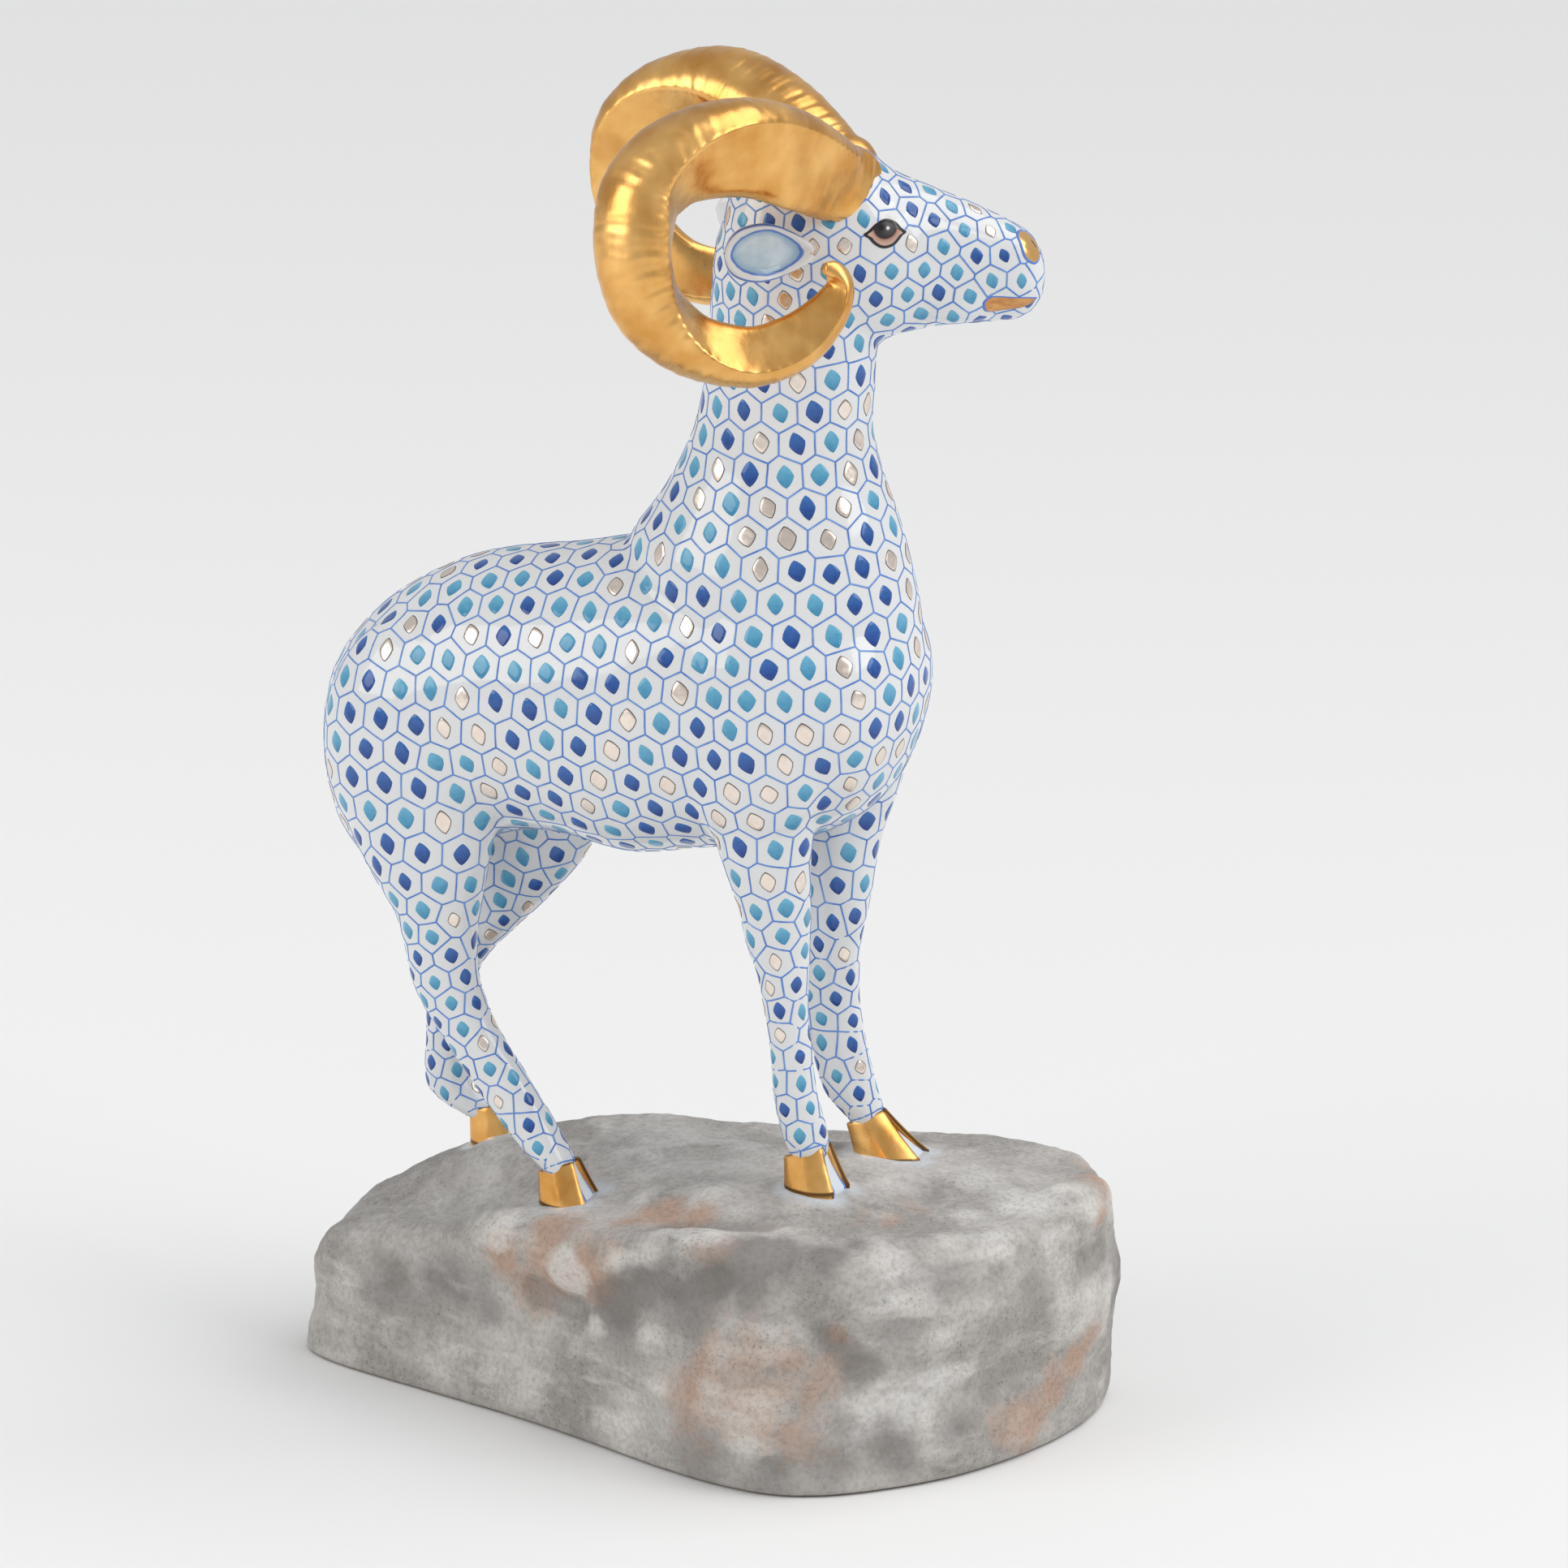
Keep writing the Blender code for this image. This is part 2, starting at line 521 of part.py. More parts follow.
def spun(ring, degrees):
    """A ring turned about the upright axis."""
    c, s = math.cos(math.radians(degrees)), math.sin(math.radians(degrees))
    return [(x * c - y * s, x * s + y * c, z) for x, y, z in ring]


def make_hoof(name, hoof, collection):
    """Two toes with a wedge of porcelain between them, standing on the rock."""
    mesh = bmesh.new()
    x, y, length, top, heel, turn = hoof
    add_loft(mesh, [spun(ring, turn) for ring in cleft_rings(length)])
    for side in (-1, 1):
        toe = toe_rings(side, length, top, heel)
        add_loft(mesh, [spun(ring, turn + side * TOE_SPREAD) for ring in toe])
    x, y = x + RAM_X, y + RAM_Y
    bmesh.ops.translate(mesh, vec=(x, y, rock_top(x, y)), verts=mesh.verts)
    return object_of(name, mesh, collection)


def main():
    clear_scene()
    figurine = collection_named("ram_figurine")
    shapes = collection_named("shapes_to_join", helper=True)
    body = make_ram(figurine)
    body.name = "ram_figurine"
    body.data.materials.clear()
    body.data.materials.append(porcelain())
    make_rock(shapes)
    for side, place in ((-1, "right"), (1, "left")):
        make_horn(place + "_horn", side, shapes)
        make_ear(place + "_ear", side, shapes)
    for place, hoof in (
        ("fore_near", FORE_NEAR_HOOF), ("fore_far", FORE_FAR_HOOF),
        ("hind_near", HIND_NEAR_HOOF), ("hind_far", HIND_FAR_HOOF),
    ):
        make_hoof(place + "_hoof", hoof, shapes)
    for shape in shapes.objects:
        shape.hide_render = True
        shape.display_type = "WIRE"
    join = body.modifiers.new("join", "BOOLEAN")
    join.operation = "UNION"
    join.operand_type = "COLLECTION"
    join.collection = shapes
    join.solver = "EXACT"
    join.use_self = True


main()
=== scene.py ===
"""Looks of a porcelain ram figurine: white glaze, a painted net, gilding and a painted bisque rock.

Laid out as an add-on: the settings are property groups, one operator makes each group of pieces and
one sets the stage. Sizes in the tables are in millimetres and MM turns them into metres. The ram
looks along +X, its left side is +Y and the rock stands on Z = 0.
"""

import math

import bpy
import numpy as np
from bpy.props import FloatProperty, FloatVectorProperty, IntProperty, PointerProperty
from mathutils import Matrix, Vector, noise
from mathutils.bvhtree import BVHTree
from mathutils.kdtree import KDTree


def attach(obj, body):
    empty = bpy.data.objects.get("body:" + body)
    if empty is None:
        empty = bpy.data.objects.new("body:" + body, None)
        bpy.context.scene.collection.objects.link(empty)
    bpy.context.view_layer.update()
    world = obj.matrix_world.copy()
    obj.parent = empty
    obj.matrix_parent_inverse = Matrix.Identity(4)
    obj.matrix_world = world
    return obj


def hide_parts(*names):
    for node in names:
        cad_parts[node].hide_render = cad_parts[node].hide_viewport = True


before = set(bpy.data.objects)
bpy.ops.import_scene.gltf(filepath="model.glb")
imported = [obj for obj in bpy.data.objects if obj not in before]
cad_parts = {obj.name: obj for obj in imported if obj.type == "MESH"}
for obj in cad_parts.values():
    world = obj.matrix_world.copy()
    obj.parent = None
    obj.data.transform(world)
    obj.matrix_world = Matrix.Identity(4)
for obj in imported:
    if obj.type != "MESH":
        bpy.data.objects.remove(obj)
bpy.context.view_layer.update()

bl_info = {
    "name": "Porcelain ram figurine",
    "version": (1, 0, 0),
    "blender": (4, 5, 0),
    "location": "3D View > Sidebar > Ram",
    "description": "Makes a glazed, painted and gilt porcelain ram on its rock",
    "category": "Add Mesh",
}

MM = 0.001
CAD_NODE = "ram_figurine"

# Rock's upper face: x, y and how far each spot lies below the rock's height
ROCK_LENGTH = 190.0
ROCK_WIDTH = 110.0
ROCK_HEIGHT = 57.0
ROCK_SPOTS = (
    (33, -13, 0), (38, 16, 0.5), (-25, -17, 8.5), (-57, 14, 8), (-95, -6, 29), (-62, 36, 13), (-88, 16, 20),
    (-12, 42, 7.5), (40, 48, 5), (78, 44, 3), (84, 15, 4), (68, -22, 5), (45, -44, 3), (8, -38, 6),
    (-18, -33, 10.5), (-50, -25, 19), (-72, -18, 24), (5, 10, 1.5), (-30, 15, 5),
)
ROCK_SPOT_REACH = 6.0
ROCK_SWELL = 1.3
ROCK_EDGE = 7.0
ROCK_FOOT = 3.0
# Rock's plan: x, y, and how far its upper edge leans in
ROCK_OUTLINE = (
    (-101, -8, 6), (-93, -17, 6), (-68, -24, 4), (-41, -31.5, 3), (-17, -39.5, 1), (7, -50, 1),
    (28, -55.5, 2), (45, -54, 2), (61, -41, 1), (74, -25, 0), (84, 0, -2), (87, 18, -2), (84, 38, 0),
    (70, 50, 4), (38, 54.5, 6), (0, 50, 6), (-40, 43, 6), (-76, 31, 6), (-97, 10, 6),
)
# Rings of its wall (share of the edge cut back, share of the height) and of its upper face
ROCK_WALL_ROWS = ((1, 0), (0, 0), (0, 0.12), (0, 0.5), (0, 0.85), (0.4, 0.98))
ROCK_TOP_ROWS = (1, 0.8, 0.46, 0.15)
# Ledges and hollows: from x, y, z to x, y, z, reach, height
ROCK_FORMS = (
    (-30, -28, 43, -12, -36, 42, 7, 2.4), (-38, -26, 42, -34, -28, 44, 6, 1.4),
    (-22, -34, 31, -11, -38, 32, 4.5, -1.7), (-2, -41, 37, 6, -43, 43, 4.5, -1.7),
    (12, -45, 45, 28, -50, 49, 4.5, -1.3), (2, -38, 47, 26, -44, 55, 5, 1.3),
    (4, -20, 53, 14, -22, 54, 9, 1.8), (12, -34, 53, 34, -33, 55, 4, -1.0),
    (32, -55, 24, 42, -55, 16, 14, 1.8), (52, -50, 42, 60, -45, 30, 7, -1.6),
    (58, -46, 14, 64, -42, 8, 8, -1.0), (70, -34, 45, 78, -28, 30, 8, 1.2),
    (91, 12, 54, 92, 22, 53, 7, 2.4), (93, 8, 41, 94, 16, 40, 5, -1.3),
    (92, -2, 30, 94, 14, 28, 9, 1.2), (84, -18, 50, 74, -26, 52, 6, 1.2),
    (-84, -14, 26, -76, -17, 20, 9, 1.4), (-60, -25, 22, -36, -31, 20, 14, -1.4),
    (-95, -10, 10, -88, -14, 8, 7, -0.8), (-94, -4, 22, -92, 10, 24, 7, 1.6),
    (0, 25, 55, 40, 30, 55, 12, -1.2), (-50, 20, 47, -20, 30, 51, 9, 1.2),
    (-40, 44, 20, 10, 51, 30, 12, 1.6), (40, 55, 40, 70, 49, 20, 10, -1.6),
    (88, 34, 30, 80, 42, 20, 9, 1.4), (-12, -36, 36, 4, -42, 44, 4, 1.2), (2, -43, 33, 34, -51, 48, 5, -1.2),
)
FORM_HEIGHT = 1.35
# Brushed stains on it, the dark ones also painted shade under its ledges: x, y, z, reach, strength
WARM_STAINS = (
    (-31, -30, 38, 7, 1), (-19, -35, 41, 8, 1), (-6, -40, 41, 7, 0.9), (-24, -32, 33, 7, 0.7),
    (1, -41, 48, 6, 0.6), (-35, -29, 41, 4, 0.9), (6, -29, 52, 7, 0.9), (16, -28, 54, 6, 0.9),
    (26, -45, 55, 5, 0.5), (0, -34, 51, 5, 0.6), (49, -21, 55, 6, 0.6), (59, -20, 55, 6, 0.7),
    (61, -11, 54, 5, 0.6), (34, -34, 55, 6, 0.3), (30, -54, 28, 8, 1), (42, -54, 32, 7, 0.8),
    (26, -54, 20, 8, 0.8), (41, -56, 21, 9, 0.9), (53, -51, 27, 8, 0.7), (57, -47, 38, 4, 0.8),
    (48, -54, 17, 8, 0.6), (23, -52, 11, 6, 0.5), (91, -3, 15, 7, 0.9), (88, -11, 9, 8, 0.9),
    (94, 6, 18, 6, 0.9), (85, -16, 7, 6, 0.6), (92, 21, 55, 5, 0.9), (95, 14, 52, 4, 0.8),
    (85, 32, 54, 4, 0.4), (-60, 34, 30, 16, 0.8), (10, 52, 25, 18, 0.8), (60, 48, 38, 14, 0.7),
)
DARK_STAINS_AND_SHADE = (
    (-6, -40, 30, 6, 0.8), (2, -43, 35, 7, 0.9), (11, -46, 41, 8, 1), (20, -48, 45, 8, 1),
    (28, -49, 49, 8, 1), (36, -50, 53, 8, 1), (43, -47, 54, 7, 0.9), (50, -44, 55, 6, 0.9),
    (55, -37, 55, 5, 0.7), (61, -31, 55, 5, 0.6), (23, -50, 39, 10, 0.7), (37, -52, 46, 8, 0.7),
    (6, -45, 30, 9, 0.6), (50, -49, 49, 7, 0.5), (-64, -20, 24, 9, 0.6), (-49, -24, 26, 8, 0.7),
    (-40, -27, 26, 7, 0.6), (-73, -18, 23, 6, 0.5), (-84, -9, 30, 5, 0.5), (-9, -39, 21, 9, 0.5),
    (55, -47, 36, 7, 0.7), (59, -45, 30, 6, 0.6), (42, -55, 28, 6, 0.3), (25, -53, 7, 9, 0.6),
    (43, -55, 7, 9, 0.6), (55, -50, 9, 7, 0.6), (35, -56, 18, 7, 0.4), (68, -40, 39, 8, 0.4),
    (74, -33, 47, 7, 0.4), (85, -16, 23, 7, 0.5), (79, -26, 11, 8, 0.5), (88, -12, 38, 7, 0.4),
    (68, -39, 9, 8, 0.5), (-30, 46, 30, 18, 0.8), (50, 52, 15, 16, 0.8), (90, 30, 30, 14, 0.7),
    (-90, 14, 15, 12, 0.7),
)
PALE_STAINS = (
    (81, 5, 55, 9, 0.9), (82, -18, 53, 8, 0.7), (68, -8, 54, 6, 0.5), (92, -1, 49, 7, 0.6),
    (69, 11, 55, 6, 0.5), (-32, -28, 44, 5, 0.6), (-15, -29, 49, 5, 0.7), (10, -45, 47, 5, 0.7),
    (24, -47, 54, 5, 0.6), (36, -38, 55, 4, 0.5), (68, -39, 46, 7, 0.6), (64, -43, 20, 7, 0.8),
    (71, -37, 20, 6, 0.8), (77, -31, 27, 6, 0.6), (-34, -29, 17, 9, 0.5), (-48, -26, 9, 8, 0.5),
    (1, -43, 10, 9, 0.5), (-61, -21, 12, 8, 0.4), (-79, -17, 10, 6, 0.4), (16, -49, 19, 5, 0.6),
    (0, 20, 55, 20, 0.4), (30, 54, 35, 14, 0.5),
)
# Mounds of its upper face: x, y, reach, height
MOUNDS = ((-47.5, 4.0, 9.0, 2.4),)

# Where the ram stands and how high its parts are above the rock's top
RAM_X = 5.75
RAM_Y = 0.5
TRUNK_RISE = 107.0
NECK_RISE = 95.0
NECK_X = 18.5
HEAD_TURN = 24.2
HEAD_X = 22.0
# Trunk: x, bottom and top from the trunk's middle height, half width
TRUNK_ROWS = (
    (-89.5, -20, -2, 5), (-88, -31, 3, 13), (-83.5, -41, 9.5, 20), (-76, -47, 17, 25),
    (-66, -45, 23.5, 27.8), (-55, -38.5, 28.4, 28.5), (-43, -34, 31.2, 29), (-30, -33.5, 33.2, 29.5),
    (-15, -36, 36.5, 30), (0, -33.5, 38, 30), (15, -31, 38, 29.5), (28, -27.5, 37, 28.5),
    (38, -22, 33, 25.5), (45, -14, 27, 20.5), (49.5, -2, 20, 12), (51, 6, 14, 5),
)
# Neck: share of its rise, x from its foot, half length, half width
NECK_ROWS = (
    (-0.2, -6, 12, 14), (0.0, 2, 28, 27), (0.22, -0.4, 32, 26), (0.38, -3.2, 32.0, 23.5),
    (0.48, -1.5, 27.6, 20.5), (0.58, -0.4, 22.9, 18), (0.68, 0.5, 19.8, 16.6), (0.78, 1.8, 19.0, 16.2),
    (0.88, 2.4, 18.5, 15.8), (1.0, 1.5, 17.0, 15.3), (1.12, 0.5, 14.5, 13.5), (1.22, 0, 9, 9),
)
# Head: distance along it from the top of the neck, bottom and top, half width
HEAD_ROWS = (
    (-15.5, 3, 17, 5), (-13.5, -6, 23, 10), (-8, -12, 28.5, 13.8), (0, -14, 31.2, 15.6),
    (8, -13.6, 31.6, 15.9), (15, -12.5, 30.2, 15.0), (20, -11, 26.0, 13.6), (27, -9.3, 22.8, 11.4),
    (34, -8.4, 20.0, 9.8), (41, -8, 16.9, 9.0), (47, -7.5, 13.9, 8.5), (51, -5.6, 11, 7.2),
    (53.6, -1.5, 6.5, 4.2),
)
# Muscles to either side: x, y, height from the trunk's middle, half sizes
MUSCLES = (
    (19, 19.5, 2, 20, 10.5, 29), (-63, 15.5, -13, 23, 13.5, 30), (38, 9, 8, 11, 12, 22),
)
# Small forms of the head to either side: along, out, up, half sizes
HEAD_FORMS = (
    (18.4, 9.2, 14.4, 6.0, 4.4, 4.4), (46.5, 4.6, 8.2, 4.6, 3.6, 3.8), (33, 5.0, -2.5, 12, 4.6, 5.0),
)
# Hooves: x, y, length, the top's length and its shift at the heel as shares, degrees turned, degrees by which
# each toe turns out, height of the mound under it; then the leg above: share of its height, x, y, half
# length, half width
LEGS = (
    ((32.9, -13.4, 12.4, 0.73, -0.06, -8, 21, 1.6), (
        (0.03, -2.4, 0, 2.8, 3.2), (0.06, -2.4, 0, 3.9, 4.4), (0.09, -2.9, 0, 5.1, 5.2),
        (0.14, -4.3, 0, 5.3, 5.1), (0.2, -5.9, 0, 5.0, 4.9),
        (0.3, -6.9, 0, 4.8, 4.8), (0.38, -8.0, 0, 5.0, 5.2), (0.46, -8.7, 0, 6.0, 5.8),
        (0.52, -9.9, 0, 7.2, 6.6), (0.6, -10.5, -0.5, 8.2, 7.6), (0.7, -12, -1.5, 10.0, 8.8),
        (0.85, -13.5, -2.5, 13.0, 9.5), (1.0, -14.5, -3, 14.0, 9.5), (1.15, -15.5, -2, 12.0, 8.0),
    )),
    ((38.6, 17.1, 15.5, 0.51, -0.136, 2, 14, 0.9), (
        (0.03, -5.0, 0, 2.6, 3.2), (0.06, -5.8, -0.2, 3.7, 4.4), (0.09, -7.5, -0.4, 5.2, 5.3),
        (0.125, -9.9, -0.5, 6.5, 5.4), (0.2, -12.3, -0.4, 6.8, 5.1),
        (0.3, -14.6, -0.5, 6.9, 5.0), (0.38, -14.8, -1, 6.8, 5.3), (0.46, -14.6, -1.5, 7.2, 5.9),
        (0.52, -14.0, -1.5, 8.0, 6.6), (0.6, -13.5, -1, 8.8, 7.6), (0.7, -13, -0.5, 10.0, 8.8),
        (0.85, -11.7, 0, 14.0, 9.5), (1.0, -14.0, 0, 14.5, 9.5), (1.15, -16.5, -1, 12.0, 8.0),
    )),
    ((-25.4, -17.3, 12.4, 0.67, -0.066, -2, 27, 0.0), (
        (0.03, -1.8, 0, 2.6, 3.2), (0.055, -2.8, 0, 3.5, 4.4), (0.08, -4.6, 0, 4.8, 5.2),
        (0.11, -7.7, 0, 5.9, 5.3), (0.17, -12.9, 0, 7.0, 5.0),
        (0.25, -19.5, 0, 7.6, 4.9), (0.32, -25.2, 0, 7.6, 5.3), (0.38, -29.2, 0, 8.0, 6.0),
        (0.43, -31.3, 0, 8.2, 6.4), (0.49, -32.2, 0, 8.6, 6.8), (0.56, -33, 0, 10.2, 8.0),
        (0.66, -35.5, 0, 15.0, 10.0), (0.8, -37.5, 0.5, 19.5, 11.0), (1.0, -39, 0, 18.0, 10.0),
    )),
    ((-57.0, 14.0, 12.0, 0.72, -0.06, -4, 22, 0.0), (
        (0.035, -2.4, 0, 3.8, 3.8), (0.065, -7.4, 0, 6.8, 5.1), (0.10, -12.6, 0, 6.6, 5.2),
        (0.15, -14.1, 0, 5.4, 5.0), (0.22, -14.1, 0, 4.9, 5.0), (0.3, -13.4, 0, 5.6, 5.4),
        (0.38, -11.3, 0, 7.4, 6.0), (0.46, -5.5, 0, 10.6, 6.9), (0.55, 1.2, 0, 14.0, 8.2),
        (0.65, 5.5, 0, 18.0, 9.6), (0.76, 3, 0, 20.0, 10.6), (0.88, -3, 0.5, 20.0, 11.0),
        (1.0, -6.5, 0, 18.0, 10.0),
    )),
)
HOOF_WIDTH = 12.5
HOOF_HEIGHT = 7.9
TOE_GAP = 1.6
HOOF_TAPER = 0.14
HOOF_SLOPE = 0.46
MOUND_REACH = 10.0
# One toe's plan from the heel round its outer side and back along the cleft: forwards and outwards
TOE_PLAN = (
    (0.03, 0.08), (0.01, 0.54), (0.1, 0.98), (0.33, 1.12), (0.6, 1.03), (0.78, 0.86), (0.92, 0.58),
    (1.02, 0.24), (0.98, 0.02), (0.5, 0.0),
)
# Toe's rows as shares of the hoof's height, each with a share by which it is drawn in
TOE_ROWS = (
    (-0.28, 0), (0.0, 0), (0.06, 0.0), (0.25, 0), (0.5, 0), (0.75, 0), (0.88, 0), (0.95, 0.005), (0.99, 0.03),
    (1.0, 0.12),
)
# Wedge of porcelain between the toes: share of the hoof's height, half width, how far behind the tips
CLEFT_ROWS = (
    (-0.25, 4.0, 0.9), (0.0, 3.7, 1.1), (0.2, 3.3, 1.4), (0.6, 2.6, 1.6), (1.0, 2.0, 1.5), (1.2, 1.4, 1.8),
)

# Horns: along the head, out from its middle, up, thickness, breadth, degrees the outer face turns out
HORN_ROWS = (
    (16.9, 4.6, 22.6, 1.5, 1.5, -5), (16.5, 4.8, 22.8, 6, 5.5, -5), (15.4, 5.3, 23.3, 10.6, 9.4, -5),
    (13.2, 6.2, 24.0, 14.6, 12.4, -5), (7.3, 11.0, 25.4, 18.5, 15, -10), (-2.8, 22.0, 31.7, 22, 18.5, -12),
    (-13.8, 32.0, 36.4, 21, 19.5, -5), (-25.3, 37.5, 34.8, 19.5, 19.5, 10), (-32.4, 40.5, 28.7, 19, 19, 25),
    (-34.2, 42.5, 21.2, 19.2, 18.5, 36), (-34.1, 43.5, 13.3, 18.8, 17.5, 40), (-31.4, 43.5, 4.6, 17, 16, 36),
    (-23.6, 43.0, -3.3, 14, 14.2, 14), (-12.4, 42.0, -6.4, 13, 12.6, -14),
    (-2.2, 40.0, -3.6, 12.3, 11.4, -20), (4.6, 38.0, 2.0, 9.4, 9.2, -12), (7.5, 37.0, 7.4, 6.4, 6.6, -5),
    (6.3, 37.5, 10.8, 4.4, 4.4, 0), (4.0, 38.5, 11.7, 2.6, 2.6, 0),
)
HORN_LOOP = (-12.2, 36.0, 13.0)
# Section from the outer crown past the ridge to the inner edge: out, sideways, as shares of its size
HORN_SECTION = (
    (0.50, 0.0), (0.485, 0.16), (0.43, 0.31), (0.345, 0.42), (0.25, 0.485), (0.19, 0.50), (0.14, 0.475),
    (0.02, 0.41), (-0.16, 0.31), (-0.34, 0.20), (-0.45, 0.11), (-0.5, 0.0),
)
HORN_RIDGE = 5
HORN_RINGS = 416

# Ears: from root to tip, then share of the length, half width, thickness
EAR_ROOT = (4.0, 13.0, 10.2)
EAR_TIP = (-16.5, 25.5, 12.5)
EAR_ROWS = (
    (0.0, 2.6, 3.8), (0.15, 3.0, 3.8), (0.3, 4.5, 3.8), (0.45, 5.8, 3.6), (0.6, 6.4, 3.4), (0.75, 6.1, 3.2),
    (0.88, 5.0, 2.9), (0.96, 3.2, 2.4), (1.0, 0.8, 1.4),
)
EAR_CUP = 2.4

# Painted spots of the face: place along the head, out, up; way it faces; outline in millimetres
EYE = ((18.3, 12.8, 14.2), (0.0, 1.0, 0.0), (
    (4.9, 0.0), (3.75, 1.0), (2.6, 2.3), (1.0, 3.05), (-0.4, 3.1), (-2.3, 2.1), (-3.7, 0.85), (-4.9, 0.0),
    (-3.7, -0.85), (-2.7, -2.0), (-1.3, -2.95), (0.2, -3.25), (2.0, -2.75), (3.2, -1.6), (4.0, -0.6),
))
NOSE = ((50.2, 4.1, 9.3), (0.72, 0.62, 0.32), (
    (2.9, 1.4), (1.4, 3.5), (-1.3, 4.0), (-3.5, 2.4), (-4.0, -0.6), (-2.6, -3.4), (0.2, -4.3), (2.4, -2.4),
))
MOUTH = ((45.6, 6.6, -2.8), (0.28, 0.9, -0.32), (
    (6.8, 0.3), (4.2, 1.6), (1.0, 2.1), (-2.2, 2.5), (-4.8, 2.5), (-6.3, 1.2), (-5.8, -0.7),
    (-3.4, -1.3), (0.0, -1.2), (3.6, -0.9),
))

# Spots of the head that carry no fleck: along the head, out, up, reach
BARE_SPOTS = ((18.3, 13, 14.2, 5.7), (50.2, 4.1, 9.3, 5.0), (45.6, 6.6, -2.8, 4.2), (41, 7.6, -2, 2.8))
# Zone over each hoof that carries no fleck: how far behind its middle, above its sole, reach
BARE_HOOF = (3, 4, 8.5)
# Rings of a painted spot and of a fleck, as shares of its outline
SPOT_RINGS = (1.0, 0.93, 0.8, 0.62, 0.42, 0.2)
FLECK_RINGS = (1.0, 0.9, 0.5)
# Height from which a spot is laid on the head, and how deep its rim sinks into the glaze
SPOT_REACH = 6
SPOT_SINK = 0.08
# A fleck's outline lies between a diamond, 1, and an ellipse, 2; its top leans back
FLECK_POWER = 1.35
FLECK_TOP = (-0.25, 0, 1)
TINTS = ("cobalt", "turquoise", "platinum")
TINT_SHARES = (0.38, 0.78)
# Distance between staggered rows as a share of a cell's width
ROW_PITCH = 0.866
# How far a corner of the net may move from where three cells touch
CORNER_REACH = 1.6
# The blue line round a hoof: share of its height, and how far outside the toe's plan as a share
HOOF_LINE = (1.04, 0.03)
BODY_SIDES = 48
LEG_SIDES = 28
TOE_SIDES = 48
CLEFT_SIDES = 36

# Paints that the settings don't hold
GLAZE_IOR = 1.5
# Brown of the painted dark reflections in the gold
PAINTED_REFLECTION_BROWN = (0.42, 0.19, 0.05)
BORDER_BROWN = (0.07, 0.03, 0.015)
CLEFT_WHITE = (0.72, 0.79, 0.87)
LINE_BLUE = (0.07, 0.20, 0.62)
FACE_LINE = (0.10, 0.22, 0.62)
COBALT_LIGHT = (0.04, 0.15, 0.46)
TURQUOISE_LIGHT = (0.15, 0.45, 0.64)
PLATINUM_DEEP = (0.80, 0.66, 0.57)
PLATINUM_PALE = (0.96, 0.88, 0.80)
PLATINUM_RIM = (0.03, 0.022, 0.02)
EAR_GREY = (0.47, 0.60, 0.69)
EAR_PALE = (0.70, 0.79, 0.84)
# Painted shade of the ear's hollow
EAR_PAINTED_SHADE = (0.25, 0.42, 0.60)
EAR_INNER_LINE = (0.06, 0.17, 0.58)
EAR_OUTER_LINE = (0.05, 0.16, 0.56)
EYE_PINK = (0.68, 0.50, 0.43)
EYE_BROWN = (0.42, 0.19, 0.13)
IRIS_DARK = (0.030, 0.026, 0.027)
IRIS_GREY = (0.12, 0.11, 0.11)
PUPIL_BLACK = (0.006, 0.005, 0.006)
# Painted highlight on the iris
PAINTED_HIGHLIGHT_WHITE = (0.85, 0.92, 1.0)
LID_BLACK = (0.014, 0.012, 0.014)
MOUTH_DEEP = (0.52, 0.23, 0.08)
MOUTH_PALE = (0.68, 0.36, 0.13)
NOSTRIL_BROWN = (0.10, 0.045, 0.02)
BRUSHED_GREY = (0.63, 0.61, 0.585)
PALE_STAIN = (0.74, 0.72, 0.69)
# Dark stains, also painted shade under the ledges
DARK_STAIN_AND_SHADE = (0.17, 0.16, 0.15)
RIDGE_GREY = (0.70, 0.67, 0.63)
# Painted shade in the rock's creases
CREASE_SHADE = (0.16, 0.145, 0.13)
GRAIN_BROWN = (0.15, 0.135, 0.12)
SPECK_BLACK = (0.09, 0.085, 0.08)
POOL_GREY = (0.60, 0.655, 0.70)
# Painted contact shadow along the rock's bottom edge
FOOT_SHADOW = (0.16, 0.10, 0.06)

# Softboxes: name, place, width, share of the key light's power, colour, in metres
SOFTBOXES = (
    ("left", (-1.3, -1.3, 1.0), 1.2, 1.0, (1, 0.99, 0.97)),
    ("right", (1.6, -0.2, 1.1), 0.9, 0.7, (0.99, 0.99, 1)),
)
SOFTBOX_AIM = (0, 0, 0.15)
SKYLIGHT_WAY = (-0.45, -0.2, -0.87)
SKYLIGHT_SPREAD = 50
ROOM_TINT = (0.97, 0.975, 0.985, 1)
PAPER_WHITE = (0.86, 0.86, 0.855, 1)
FLOOR_HALF = 6000


class RamBodySettings(bpy.types.PropertyGroup):
    grid: FloatProperty(
        name="Grid", description="Spacing of the body's mesh", default=0.001, min=0.0005, unit="LENGTH"
    )
    rounds: IntProperty(name="Softening", description="How far the joined forms melt together", default=14)


